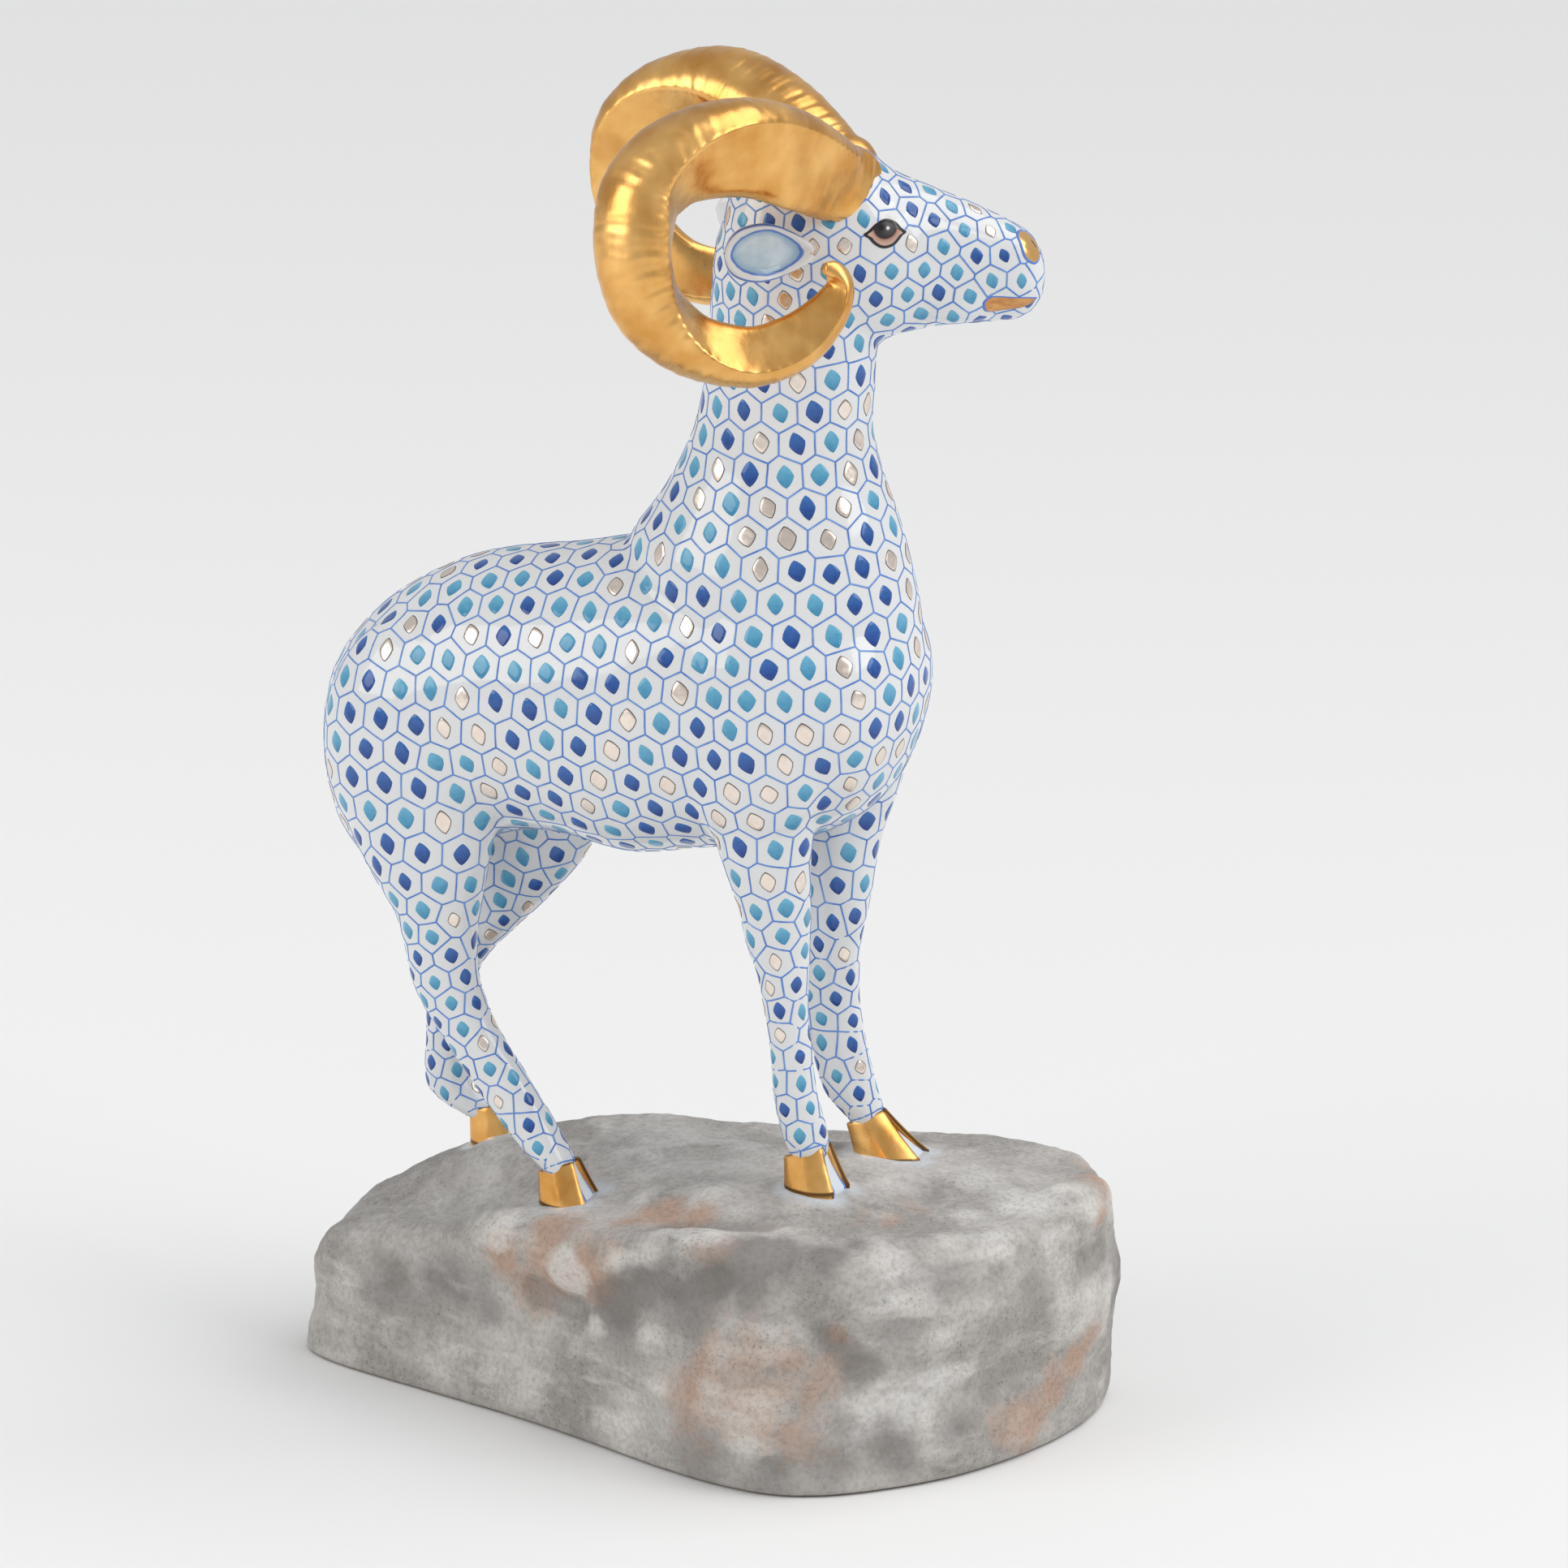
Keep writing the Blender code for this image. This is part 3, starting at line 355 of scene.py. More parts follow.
class RamNetSettings(bpy.types.PropertyGroup):
    trunk_cell: FloatProperty(
        name="Trunk cell", description="Width of a cell on trunk and neck", default=0.0078, unit="LENGTH"
    )
    leg_cell: FloatProperty(
        name="Leg cell", description="Width of a cell on a leg", default=0.006, unit="LENGTH"
    )
    head_cell: FloatProperty(
        name="Head cell", description="Width of a cell on the head", default=0.0062, unit="LENGTH"
    )
    rounds: IntProperty(name="Evening", description="Rounds that even out the cells", default=14)
    width: FloatProperty(
        name="Line width", description="Width of the brush line", default=0.00042, unit="LENGTH"
    )
    lift: FloatProperty(
        name="Line height", description="How proud the enamel line stands", default=0.00005, unit="LENGTH"
    )
    step: FloatProperty(
        name="Step", description="Distance between a line's points", default=0.0015, unit="LENGTH"
    )
    wobble: FloatProperty(
        name="Wobble", description="How far the hand strays from the line", default=0.00035, unit="LENGTH"
    )
    seed: IntProperty(name="Seed", description="Fixed seed of the net and its colours", default=11)


class RamFleckSettings(bpy.types.PropertyGroup):
    length: FloatProperty(
        name="Length", description="Height of a fleck in a trunk cell", default=0.0054, unit="LENGTH"
    )
    width: FloatProperty(
        name="Width", description="Width of a fleck in a trunk cell", default=0.0041, unit="LENGTH"
    )
    rise: FloatProperty(
        name="Thickness", description="How proud the enamel stands", default=0.00007, unit="LENGTH"
    )


class RamHornSettings(bpy.types.PropertyGroup):
    ribs: FloatProperty(name="Ribs", description="Number of ribs along a horn", default=40)
    rib_depth: FloatProperty(
        name="Rib depth", description="Height of a rib on the outer face", default=0.00005, unit="LENGTH"
    )
    beads: FloatProperty(name="Beads", description="Number of beads along the ridge", default=62)
    bead_depth: FloatProperty(
        name="Bead depth", description="Height of a bead on the ridge", default=0.00006, unit="LENGTH"
    )


class RamRockSettings(bpy.types.PropertyGroup):
    weathering: FloatProperty(
        name="Weathering", description="Height of the broad lumps", default=0.0015, unit="LENGTH"
    )
    grain: FloatProperty(
        name="Grain", description="Height of the fine unevenness", default=0.0004, unit="LENGTH"
    )
    seed: IntProperty(name="Seed", description="Fixed seed of the stains' torn edges", default=3)


def paint_property(name, description, default):
    return FloatVectorProperty(
        name=name, description=description, default=default, subtype="COLOR", min=0, max=1
    )


class RamPaintSettings(bpy.types.PropertyGroup):
    glaze: paint_property("Glaze", "White of the glazed porcelain", (0.755, 0.765, 0.775))
    gold_deep: paint_property("Deep gold", "Gilding where it is thick", (0.70, 0.34, 0.085))
    gold_pale: paint_property("Pale gold", "Gilding where it is rubbed thin", (0.95, 0.565, 0.195))
    line_deep: paint_property("Deep line", "Brush line where the paint pools", (0.05, 0.18, 0.60))
    line_light: paint_property("Light line", "Brush line where the brush runs dry", (0.17, 0.35, 0.74))
    cobalt: paint_property("Cobalt", "Dark blue enamel", (0.008, 0.045, 0.24))
    turquoise: paint_property("Turquoise", "Light blue enamel", (0.045, 0.25, 0.45))
    rock_dark: paint_property("Dark rock", "Darker grey of the bisque", (0.33, 0.312, 0.292))
    rock_pale: paint_property("Pale rock", "Lighter grey of the bisque", (0.545, 0.522, 0.495))
    rock_stain: paint_property("Rock stain", "Warm stain brushed on the bisque", (0.47, 0.31, 0.225))


class RamStageSettings(bpy.types.PropertyGroup):
    camera: FloatVectorProperty(
        name="Camera", description="Where the camera stands", default=(0.5288, -1.2473, 0.5324),
        subtype="TRANSLATION", unit="LENGTH",
    )
    target: FloatVectorProperty(
        name="Target", description="What the camera looks at", default=(0.0247, 0.0005, 0.1465),
        subtype="TRANSLATION", unit="LENGTH",
    )
    lens: FloatProperty(name="Lens", description="Focal length in millimetres", default=144.8)
    room: FloatProperty(name="Room", description="Brightness of the room around", default=0.56)
    skylight: FloatProperty(name="Skylight", description="Strength of the wide light above", default=1.06)
    key: FloatProperty(name="Key", description="Power of the left softbox", default=11.0, unit="POWER")


def between(start, end, leaving, arriving, t):
    """The point t of the way from start to end on a smooth curve with these slopes at them."""
    return (
        (2 * t**3 - 3 * t**2 + 1) * start + (t**3 - 2 * t**2 + t) * leaving
        + (3 * t**2 - 2 * t**3) * end + (t**3 - t**2) * arriving
    )


def curve_rows(rows, steps):
    """Rows of a smooth curve through the given ones, steps to each span."""
    values = np.array(rows, float)
    before = np.vstack([2 * values[0] - values[1], values[:-1]])
    after = np.vstack([values[1:], 2 * values[-1] - values[-2]])
    slopes = (after - before) / 2
    made = [
        between(values[i], values[i + 1], slopes[i], slopes[i + 1], t)
        for i in range(len(values) - 1) for t in np.arange(steps) / steps
    ]
    return np.array(made + [values[-1]])


def run_along(points):
    """Distance of each point from the first, along the line through them."""
    return np.concatenate([[0], np.cumsum(np.linalg.norm(np.diff(points, axis=0), axis=1))])


def rows_at(stops, run, rows):
    return np.array([np.interp(stops, run, column) for column in rows.T]).T


def closed_curve(points, count):
    """Points evenly placed on a smooth closed curve through the given ones."""
    values = np.array(points, float)
    slopes = (np.roll(values, -1, 0) - np.roll(values, 1, 0)) / 2
    pairs = [(i, (i + 1) % len(values)) for i in range(len(values))]
    fine = [
        between(values[i], values[j], slopes[i], slopes[j], t) for i, j in pairs for t in np.arange(8) / 8
    ]
    fine = np.array(fine + [fine[0]])
    run = run_along(fine)
    return rows_at(np.arange(count) / count * run[-1], run, fine)


def ring_faces(count, rings):
    """Faces between rings of count points each."""
    return [
        (k * count + i, k * count + (i + 1) % count, (k + 1) * count + (i + 1) % count, (k + 1) * count + i)
        for k in range(rings - 1) for i in range(count)
    ]


def patch_faces(count, rings):
    """Faces of a painted patch: rings from its rim inwards, its middle, and the middle of its back."""
    last, middle = (rings - 1) * count, rings * count
    front = [(last + i, last + (i + 1) % count, middle) for i in range(count)]
    back = [((i + 1) % count, i, middle + 1) for i in range(count)]
    return ring_faces(count, rings) + front + back


def skin_of(rings):
    """Points and faces of a closed skin over rings of equal count, with a fan at each end."""
    rings = [np.array(ring, float) for ring in rings]
    count = len(rings[0])
    points = np.vstack(rings + [rings[0].mean(0)[None], rings[-1].mean(0)[None]])
    faces = ring_faces(count, len(rings))
    low, high, last = len(points) - 2, len(points) - 1, (len(rings) - 1) * count
    for i in range(count):
        j = (i + 1) % count
        faces += [(low, j, i), (high, last + i, last + j)]
    return points, faces


def volume_of(points, faces):
    """Six times the volume within the faces, below zero where they face inwards."""
    total = 0.0
    for face in faces:
        corners = points[list(face)]
        for i in range(1, len(face) - 1):
            total += np.dot(corners[0], np.cross(corners[i], corners[i + 1]))
    return total


def skins_together(skins):
    """One list of points and faces from several closed skins, each turned to face outwards."""
    points, faces = [], []
    start = 0
    for skin_points, skin_faces in skins:
        if volume_of(skin_points, skin_faces) < 0:
            skin_faces = [tuple(reversed(face)) for face in skin_faces]
        points.append(skin_points)
        faces += [tuple(i + start for i in face) for face in skin_faces]
        start += len(skin_points)
    return np.vstack(points), faces


def new_object(name, points, faces, edges=()):
    """A smooth-shaded object from points in millimetres."""
    data = bpy.data.meshes.new(name)
    data.from_pydata([tuple(p * MM) for p in np.asarray(points, float)], list(edges), list(faces))
    data.update()
    data.shade_smooth()
    made = bpy.data.objects.new(name, data)
    bpy.context.scene.collection.objects.link(made)
    return made


def set_attribute(obj, name, kind, values):
    values = np.asarray(values, float if kind != "INT" else int)
    made = obj.data.attributes.new(name, kind, "POINT")
    made.data.foreach_set("vector" if kind == "FLOAT_VECTOR" else "value", values.ravel())


def with_modifiers_applied(obj):
    graph = bpy.context.evaluated_depsgraph_get()
    data = bpy.data.meshes.new_from_object(obj.evaluated_get(graph))
    obj.modifiers.clear()
    obj.data = data
    return obj


def points_of(obj):
    values = np.empty(len(obj.data.vertices) * 3)
    obj.data.vertices.foreach_get("co", values)
    return values.reshape(-1, 3) / MM


def normals_of(obj):
    values = np.empty(len(obj.data.vertices) * 3)
    obj.data.vertex_normals.foreach_get("vector", values)
    return values.reshape(-1, 3)


def move_points(obj, points):
    obj.data.vertices.foreach_set("co", (np.asarray(points) * MM).ravel())
    obj.data.update()


def surface_of(obj):
    """A search tree of an object's faces, in millimetres."""
    points = [Vector(p) for p in points_of(obj)]
    return BVHTree.FromPolygons(points, [tuple(face.vertices) for face in obj.data.polygons])


def rock_top(x, y):
    weights = [((x - a) ** 2 + (y - b) ** 2 + ROCK_SPOT_REACH**2) ** -2 for a, b, _ in ROCK_SPOTS]
    return ROCK_HEIGHT - np.average([drop for _, _, drop in ROCK_SPOTS], weights=weights)


def turned(points):
    """Points along the head, out to its left and up, set on the neck in the ram's place."""
    points = np.asarray(points, float)
    turn = math.radians(HEAD_TURN)
    top = ROCK_HEIGHT + TRUNK_RISE + NECK_RISE
    along, out, up = points[..., 0], points[..., 1], points[..., 2]
    return np.stack([
        RAM_X + HEAD_X + along * math.cos(turn) - out * math.sin(turn),
        RAM_Y + along * math.sin(turn) + out * math.cos(turn),
        top + up,
    ], axis=-1)


def head_way(way):
    """A direction given in the head's own axes, in the scene's."""
    turn = math.radians(HEAD_TURN)
    x, y, z = way
    made = np.array([x * math.cos(turn) - y * math.sin(turn), x * math.sin(turn) + y * math.cos(turn), z])
    return made / np.linalg.norm(made)


def oval(count):
    return [(math.cos(a), math.sin(a)) for a in np.arange(count) * 2 * math.pi / count]


def ball(centre, halves, around=24, up=14):
    rings = []
    for k in range(1, up):
        a = math.pi * k / up
        rings.append([
            (centre[0] + halves[0] * math.sin(a) * c, centre[1] + halves[1] * math.sin(a) * s,
             centre[2] - halves[2] * math.cos(a))
            for c, s in oval(around)
        ])
    return skin_of(rings)


def ram_skins():
    """Closed skins of trunk, neck, head, muscles and legs, which overlap."""
    level = ROCK_HEIGHT + TRUNK_RISE
    skins = []
    rings = []
    for x, bottom, top, wide in curve_rows(TRUNK_ROWS, 4):
        middle, half = (top + bottom) / 2, (top - bottom) / 2
        rings.append([(RAM_X + x, RAM_Y + wide * c, level + middle + half * s) for c, s in oval(BODY_SIDES)])
    skins.append(skin_of(rings))
    rings = []
    for share, x, long, wide in curve_rows(NECK_ROWS, 4):
        z = level + share * NECK_RISE
        rings.append([(RAM_X + NECK_X + x + long * c, RAM_Y + wide * s, z) for c, s in oval(BODY_SIDES)])
    skins.append(skin_of(rings))
    rings = []
    for x, bottom, top, wide in curve_rows(HEAD_ROWS, 4):
        middle, half = (top + bottom) / 2, (top - bottom) / 2
        rings.append(turned([(x, wide * c, middle + half * s) for c, s in oval(BODY_SIDES)]))
    skins.append(skin_of(rings))
    for side in (-1, 1):
        for x, y, z, *halves in MUSCLES:
            skins.append(ball((RAM_X + x, RAM_Y + side * y, level + z), halves))
        for along, out, up, *halves in HEAD_FORMS:
            points, faces = ball((along, side * out, up), halves)
            skins.append((turned(points), faces))
    for hoof, rows in LEGS:
        sole = sole_of(hoof)
        rings = []
        for share, x, y, long, wide in curve_rows(rows, 4):
            z = sole + share * (level - sole)
            x, y = RAM_X + hoof[0] + x, RAM_Y + hoof[1] + y
            rings.append([(x + long * c, y + wide * s, z) for c, s in oval(LEG_SIDES)])
        skins.append(skin_of(rings))
    return skins


def sole_of(hoof):
    return rock_top(hoof[0] + RAM_X, hoof[1] + RAM_Y) + hoof[7]


def set_on_rock(hoof, degrees, points):
    """Points drawn about a hoof's middle, turned about it and set on the rock."""
    x, y = hoof[0] + RAM_X, hoof[1] + RAM_Y
    c, s = math.cos(math.radians(degrees)), math.sin(math.radians(degrees))
    points = np.asarray(points, float)
    return np.stack([
        x + points[:, 0] * c - points[:, 1] * s, y + points[:, 0] * s + points[:, 1] * c,
        sole_of(hoof) + points[:, 2],
    ], axis=1)


def cleft_mesh():
    """The glazed wedges between the toes, with their nearness to the gold kept."""
    skins, sides = [], []
    for hoof, _ in LEGS:
        _, _, length, top, heel, turn, _, _ = hoof
        rings = []
        for share, wide, behind in CLEFT_ROWS:
            run = max(share, 0)
            front = length * (0.5 + (top - 1 + heel) * run) - behind
            back = length * (-0.35 + heel * run)
            z = share * HOOF_HEIGHT * (1 + 0.25 * HOOF_SLOPE * run)
            plan = closed_curve((
                (back, -0.3), (back, 0.3), (front - 1.2, wide), (front, 0.5 * wide), (front, -0.5 * wide),
                (front - 1.2, -wide),
            ), CLEFT_SIDES)
            rings.append(set_on_rock(hoof, turn, np.column_stack([plan, np.full(CLEFT_SIDES, z)])))
            sides += list(np.abs(plan[:, 1]) / wide)
        skins.append(skin_of(rings))
        sides += [0.0, 0.0]
    made = new_object("cleft_wedges", *skins_together(skins))
    set_attribute(made, "side", "FLOAT", sides)
    return made


def toe_ring(hoof, side, share, drawn):
    """One toe's outline at a share of the hoof's height."""
    _, _, length, top, heel, turn, spread, _ = hoof
    run = max(share, 0)
    plan = closed_curve(TOE_PLAN, TOE_SIDES)
    x, y = 0.5 + (plan[:, 0] - 0.5) * (1 - drawn), plan[:, 1] * (1 - drawn)
    ring = np.stack([
        length * (heel * run - 0.5 + x * (1 + (top - 1) * run)),
        side * (TOE_GAP / 2 + y * (1 - HOOF_TAPER * run) * (HOOF_WIDTH - TOE_GAP) / 2),
        share * HOOF_HEIGHT * (1 + HOOF_SLOPE * (x - 0.5) * run),
    ], axis=1)
    return set_on_rock(hoof, turn + side * spread, ring)


class NodeBench:
    """Adds nodes to one tree and gives back the sockets that leave them."""

    def __init__(self, tree):
        self.tree = tree

    def feed(self, socket, value):
        if isinstance(value, bpy.types.NodeSocket):
            self.tree.links.new(value, socket)
        else:
            socket.default_value = value

    def node(self, kind, inputs=None, **settings):
        made = self.tree.nodes.new(kind)
        for key, value in settings.items():
            setattr(made, key, value)
        for key, value in (inputs or {}).items():
            self.feed(made.inputs[key], value)
        return made

    def add(self, kind, inputs=None, **settings):
        return self.node(kind, inputs, **settings).outputs[0]

    def math(self, operation, a, b=0.0):
        return self.add("ShaderNodeMath", {0: a, 1: b}, operation=operation)

    def plus(self, a, b):
        return self.math("ADD", a, b)

    def minus(self, a, b):
        return self.math("SUBTRACT", a, b)

    def times(self, a, b):
        return self.math("MULTIPLY", a, b)


class ShapeBench(NodeBench):
    """Builds a Geometry Nodes group with these named inputs."""

    def __init__(self, name, inputs):
        super().__init__(bpy.data.node_groups.new(name, "GeometryNodeTree"))
        sockets = self.tree.interface
        sockets.new_socket("Geometry", in_out="INPUT", socket_type="NodeSocketGeometry")
        for label, kind in inputs.items():
            sockets.new_socket(label, in_out="INPUT", socket_type="NodeSocket" + kind)
        sockets.new_socket("Geometry", in_out="OUTPUT", socket_type="NodeSocketGeometry")
        self.given = self.tree.nodes.new("NodeGroupInput").outputs

    def shape(self, kind, inputs=None, **settings):
        return self.add("GeometryNode" + kind, inputs, **settings)

    def mesh_of(self, label):
        return self.node("GeometryNodeObjectInfo", {"Object": self.given[label]}).outputs["Geometry"]

    def named(self, label, kind="FLOAT"):
        """What each point keeps under this name."""
        made = self.node("GeometryNodeInputNamedAttribute", {"Name": label}, data_type=kind)
        return [s for s in made.outputs if s.name == "Attribute" and s.enabled][0]

    def noise(self, scale, detail, output=0):
        place = self.shape("InputPosition")
        made = self.node("ShaderNodeTexNoise", {"Vector": place, "Scale": scale, "Detail": detail})
        return made.outputs[output]

    def vector(self, operation, a, b):
        return self.add("ShaderNodeVectorMath", {0: a, 1: b}, operation=operation)

    def scaled(self, vector, factor):
        return self.add("ShaderNodeVectorMath", {0: vector, "Scale": factor}, operation="SCALE")

    def on_surface(self, rise):
        """Where a point lands on the surface, held off it by rise, and the surface's normal there."""
        surface = self.mesh_of("Surface")
        near = self.node("GeometryNodeProximity", {0: surface}, target_element="FACES").outputs["Position"]
        sample = self.node("GeometryNodeSampleNearestSurface", {"Mesh": surface}, data_type="FLOAT_VECTOR")
        value = [s for s in sample.inputs if s.name == "Value" and s.enabled][0]
        self.feed(value, self.shape("InputNormal"))
        facing = [s for s in sample.outputs if s.name == "Value" and s.enabled][0]
        return self.vector("ADD", near, self.scaled(facing, rise)), facing

    def done(self, shape, material):
        """Ends the group in plain mesh with this material."""
        shape = self.shape("RealizeInstances", {"Geometry": shape})
        shape = self.shape("SetMaterial", {"Geometry": shape, "Material": material})
        self.feed(self.tree.nodes.new("NodeGroupOutput").inputs["Geometry"], shape)
        return self.tree


def run_tree(obj, tree, values):
    """Runs the group on an object with these inputs and keeps the result as a plain mesh."""
    modifier = obj.modifiers.new(tree.name, "NODES")
    modifier.node_group = tree
    for item in tree.interface.items_tree:
        if item.in_out == "INPUT" and item.name in values:
            modifier[item.identifier] = values[item.name]
    return with_modifiers_applied(obj)


def line_tree():
    """Group that lays a brush line along every edge of a graph, on the surface."""
    bench = ShapeBench("brush_lines", {
        "Surface": "Object", "Width": "Float", "Lift": "Float", "Step": "Float", "Wobble": "Float",
        "Paint": "Material",
    })
    given = bench.given
    line = bench.shape("MeshToCurve", {"Mesh": given["Geometry"]})
    line = bench.shape("ResampleCurve", {"Curve": line, "Length": given["Step"]}, mode="LENGTH")
    stray = bench.vector("SUBTRACT", bench.noise(160.0, 1.0, "Color"), (0.5, 0.5, 0.5))
    line = bench.shape("SetPosition", {"Geometry": line, "Offset": bench.scaled(stray, given["Wobble"])})
    landed, facing = bench.on_surface(given["Lift"])
    line = bench.shape("SetPosition", {"Geometry": line, "Position": landed})
    line = bench.shape("SetCurveNormal", {"Curve": line, "Normal": facing}, mode="FREE")
    press = bench.plus(bench.times(bench.noise(220.0, 0.0), 1.1), 0.45)
    line = bench.shape("SetCurveRadius", {"Curve": line, "Radius": press})
    half = bench.times(given["Width"], 0.5)
    brush = bench.shape("CurvePrimitiveCircle", {"Resolution": 6, "Radius": half}, mode="RADIUS")
    brush = bench.shape("Transform", {"Geometry": brush, "Scale": (0.34, 1.0, 1.0)})
    solid = bench.shape("CurveToMesh", {"Curve": line, "Profile Curve": brush, "Fill Caps": True})
    return bench.done(solid, given["Paint"])


def fleck_tree():
    """Group that sets a painted fleck on each point of one tint and lays it on the surface."""
    bench = ShapeBench("painted_flecks", {
        "Surface": "Object", "Fleck": "Object", "Tint": "Int", "Paint": "Material",
    })
    given = bench.given
    same = bench.node("FunctionNodeCompare", data_type="INT", operation="EQUAL")
    one, other = [s for s in same.inputs if s.enabled and s.type == "INT"]
    bench.feed(one, bench.named("tint", "INT"))
    bench.feed(other, given["Tint"])
    spots = bench.shape("SeparateGeometry", {"Geometry": given["Geometry"], "Selection": same.outputs[0]})
    facing, upward = bench.named("facing", "FLOAT_VECTOR"), bench.named("upward", "FLOAT_VECTOR")
    turn = bench.add(
        "FunctionNodeAxesToRotation", {"Primary Axis": facing, "Secondary Axis": upward},
        primary_axis="Z", secondary_axis="Y",
    )
    flecks = bench.shape("InstanceOnPoints", {
        "Points": spots, "Instance": bench.mesh_of("Fleck"), "Rotation": turn,
        "Scale": bench.named("grow", "FLOAT_VECTOR"),
    })
    flecks = bench.shape("RealizeInstances", {"Geometry": flecks})
    landed, _ = bench.on_surface(bench.named("rise"))
    flecks = bench.shape("SetPosition", {"Geometry": flecks, "Position": landed})
    return bench.done(flecks, given["Paint"])


def rib_tree():
    """Group that raises ribs across a horn's outer face and beads along its ridge."""
    bench = ShapeBench("horn_ribs", {
        "Ribs": "Float", "Rib depth": "Float", "Beads": "Float", "Bead depth": "Float", "Gilding": "Material",
    })
    given = bench.given
    drift = bench.times(bench.noise(60.0, 1.0), 2.2)

    def wave(count):
        turns = bench.plus(bench.times(bench.named("run"), count), drift)
        return bench.math("SINE", bench.times(turns, 2 * math.pi))

    fine = bench.times(wave(bench.times(given["Ribs"], 1.93)), 0.45)
    ribs = bench.times(bench.plus(wave(given["Ribs"]), fine), given["Rib depth"])
    beads = bench.times(wave(given["Beads"]), given["Bead depth"])
    height = bench.plus(bench.times(ribs, bench.named("crown")), bench.times(beads, bench.named("ridge")))
    rise = bench.scaled(bench.shape("InputNormal"), bench.times(height, bench.named("girth")))
    horn = bench.shape("SetPosition", {"Geometry": given["Geometry"], "Offset": rise})
    return bench.done(horn, given["Gilding"])


class PaintBench(NodeBench):
    """Builds a material whose Principled shader has these constants."""

    def __init__(self, name, **constants):
        self.material = bpy.data.materials.new(name)
        self.material.use_nodes = True
        super().__init__(self.material.node_tree)
        for label, value in constants.items():
            self.socket(label).default_value = value

    def socket(self, label):
        name = label.replace("_", " ").title().replace("Ior", "IOR")
        return self.tree.nodes["Principled BSDF"].inputs[name]

    def mix(self, share, low, high):
        made = self.node("ShaderNodeMix", data_type="RGBA")
        self.feed(made.inputs[0], share)
        for place, paint in ((6, low), (7, high)):
            linked = isinstance(paint, bpy.types.NodeSocket)
            self.feed(made.inputs[place], paint if linked else (*paint, 1))
        return made.outputs[2]

    def ramp(self, value, low, high, to_low=0.0, to_high=1.0):
        """The value spread from low..high to to_low..to_high and held there."""
        spread = {0: value, 1: low, 2: high, 3: to_low, 4: to_high}
        return self.add("ShaderNodeMapRange", spread, clamp=True)

    def fade(self, value, low, high, full=1.0):
        """Full up to low, and nothing from high on."""
        return self.ramp(value, low, high, full, 0.0)

    def band(self, value, middle):
        """How far the value is from the band's middle."""
        return self.math("ABSOLUTE", self.minus(value, middle))

    def grain(self, scale, detail=3.0, stretch=(1, 1, 1)):
        place = self.node("ShaderNodeTexCoord").outputs["Object"]
        place = self.add("ShaderNodeMapping", {"Vector": place, "Scale": stretch})
        settings = {"Vector": place, "Scale": scale, "Detail": detail}
        return self.node("ShaderNodeTexNoise", settings).outputs["Fac"]

    def kept(self, name, kind="Fac"):
        """What the mesh keeps under this name."""
        return self.node("ShaderNodeAttribute", attribute_name=name).outputs[kind]

    def bump(self, height, distance, strength):
        relief = {"Height": height, "Distance": distance, "Strength": strength}
        self.feed(self.socket("normal"), self.add("ShaderNodeBump", relief))

    def done(self, **sockets):
        for label, value in sockets.items():
            self.feed(self.socket(label), value)
        return self.material


def porcelain_material(paints):
    paint = PaintBench("white_glazed_porcelain", roughness=0.07, ior=GLAZE_IOR, base_color=(*paints.glaze, 1))
    paint.bump(paint.grain(90.0, 1.0), 0.0004, 0.6)
    return paint.done()


def gilding_material(paints, name="burnished_gilding", bordered=False):
    """Gold fired on the glaze and burnished by hand, in places within a dark line, with patches of painted
    dark reflection.
    """
    paint = PaintBench(name, metallic=1.0)
    brush, cloud = paint.grain(520.0, 4.0, (1, 1, 0.3)), paint.grain(85.0, 3.0)
    colour = paint.mix(paint.ramp(cloud, 0.35, 0.68), paints.gold_deep, paints.gold_pale)
    # Brown patches laid on the gold: painted dark reflections of the surroundings
    dark_reflection = paint.times(paint.ramp(paint.grain(48.0, 2.0), 0.54, 0.72), 0.45)
    colour = paint.mix(dark_reflection, colour, PAINTED_REFLECTION_BROWN)
    if bordered:
        border = paint.times(paint.ramp(paint.kept("edge"), 0.5, 0.85), 0.85)
        colour = paint.mix(border, colour, BORDER_BROWN)
    rough = paint.plus(paint.ramp(brush, 0.3, 0.7, 0.20, 0.31), paint.ramp(cloud, 0.4, 0.7, 0.0, 0.07))
    paint.bump(paint.plus(paint.grain(150.0, 1.0), paint.times(brush, 0.12)), 0.0008, 0.4)
    return paint.done(base_color=colour, roughness=rough)


def cleft_material():
    """White glaze with a blue line along each toe."""
    paint = PaintBench("lined_cleft", roughness=0.08, ior=GLAZE_IOR)
    line = paint.fade(paint.band(paint.kept("side"), 0.68), 0.08, 0.16, 0.9)
    return paint.done(base_color=paint.mix(line, CLEFT_WHITE, LINE_BLUE))


def enamel_material(name, deep, light):
    """Enamel laid by brush, thinner and lighter where it was drawn out."""
    paint = PaintBench(name, roughness=0.09, ior=GLAZE_IOR)
    uneven = paint.times(paint.minus(paint.grain(900.0, 2.0), 0.5), 0.5)
    drawn = paint.plus(paint.kept("stroke"), uneven)
    return paint.done(base_color=paint.mix(paint.ramp(drawn, 0.1, 0.9), deep, light))


def line_material(paints):
    paint = PaintBench("blue_line", roughness=0.1, ior=GLAZE_IOR)
    cloud = paint.ramp(paint.grain(260.0, 2.0), 0.3, 0.7)
    return paint.done(base_color=paint.mix(cloud, paints.line_deep, paints.line_light))


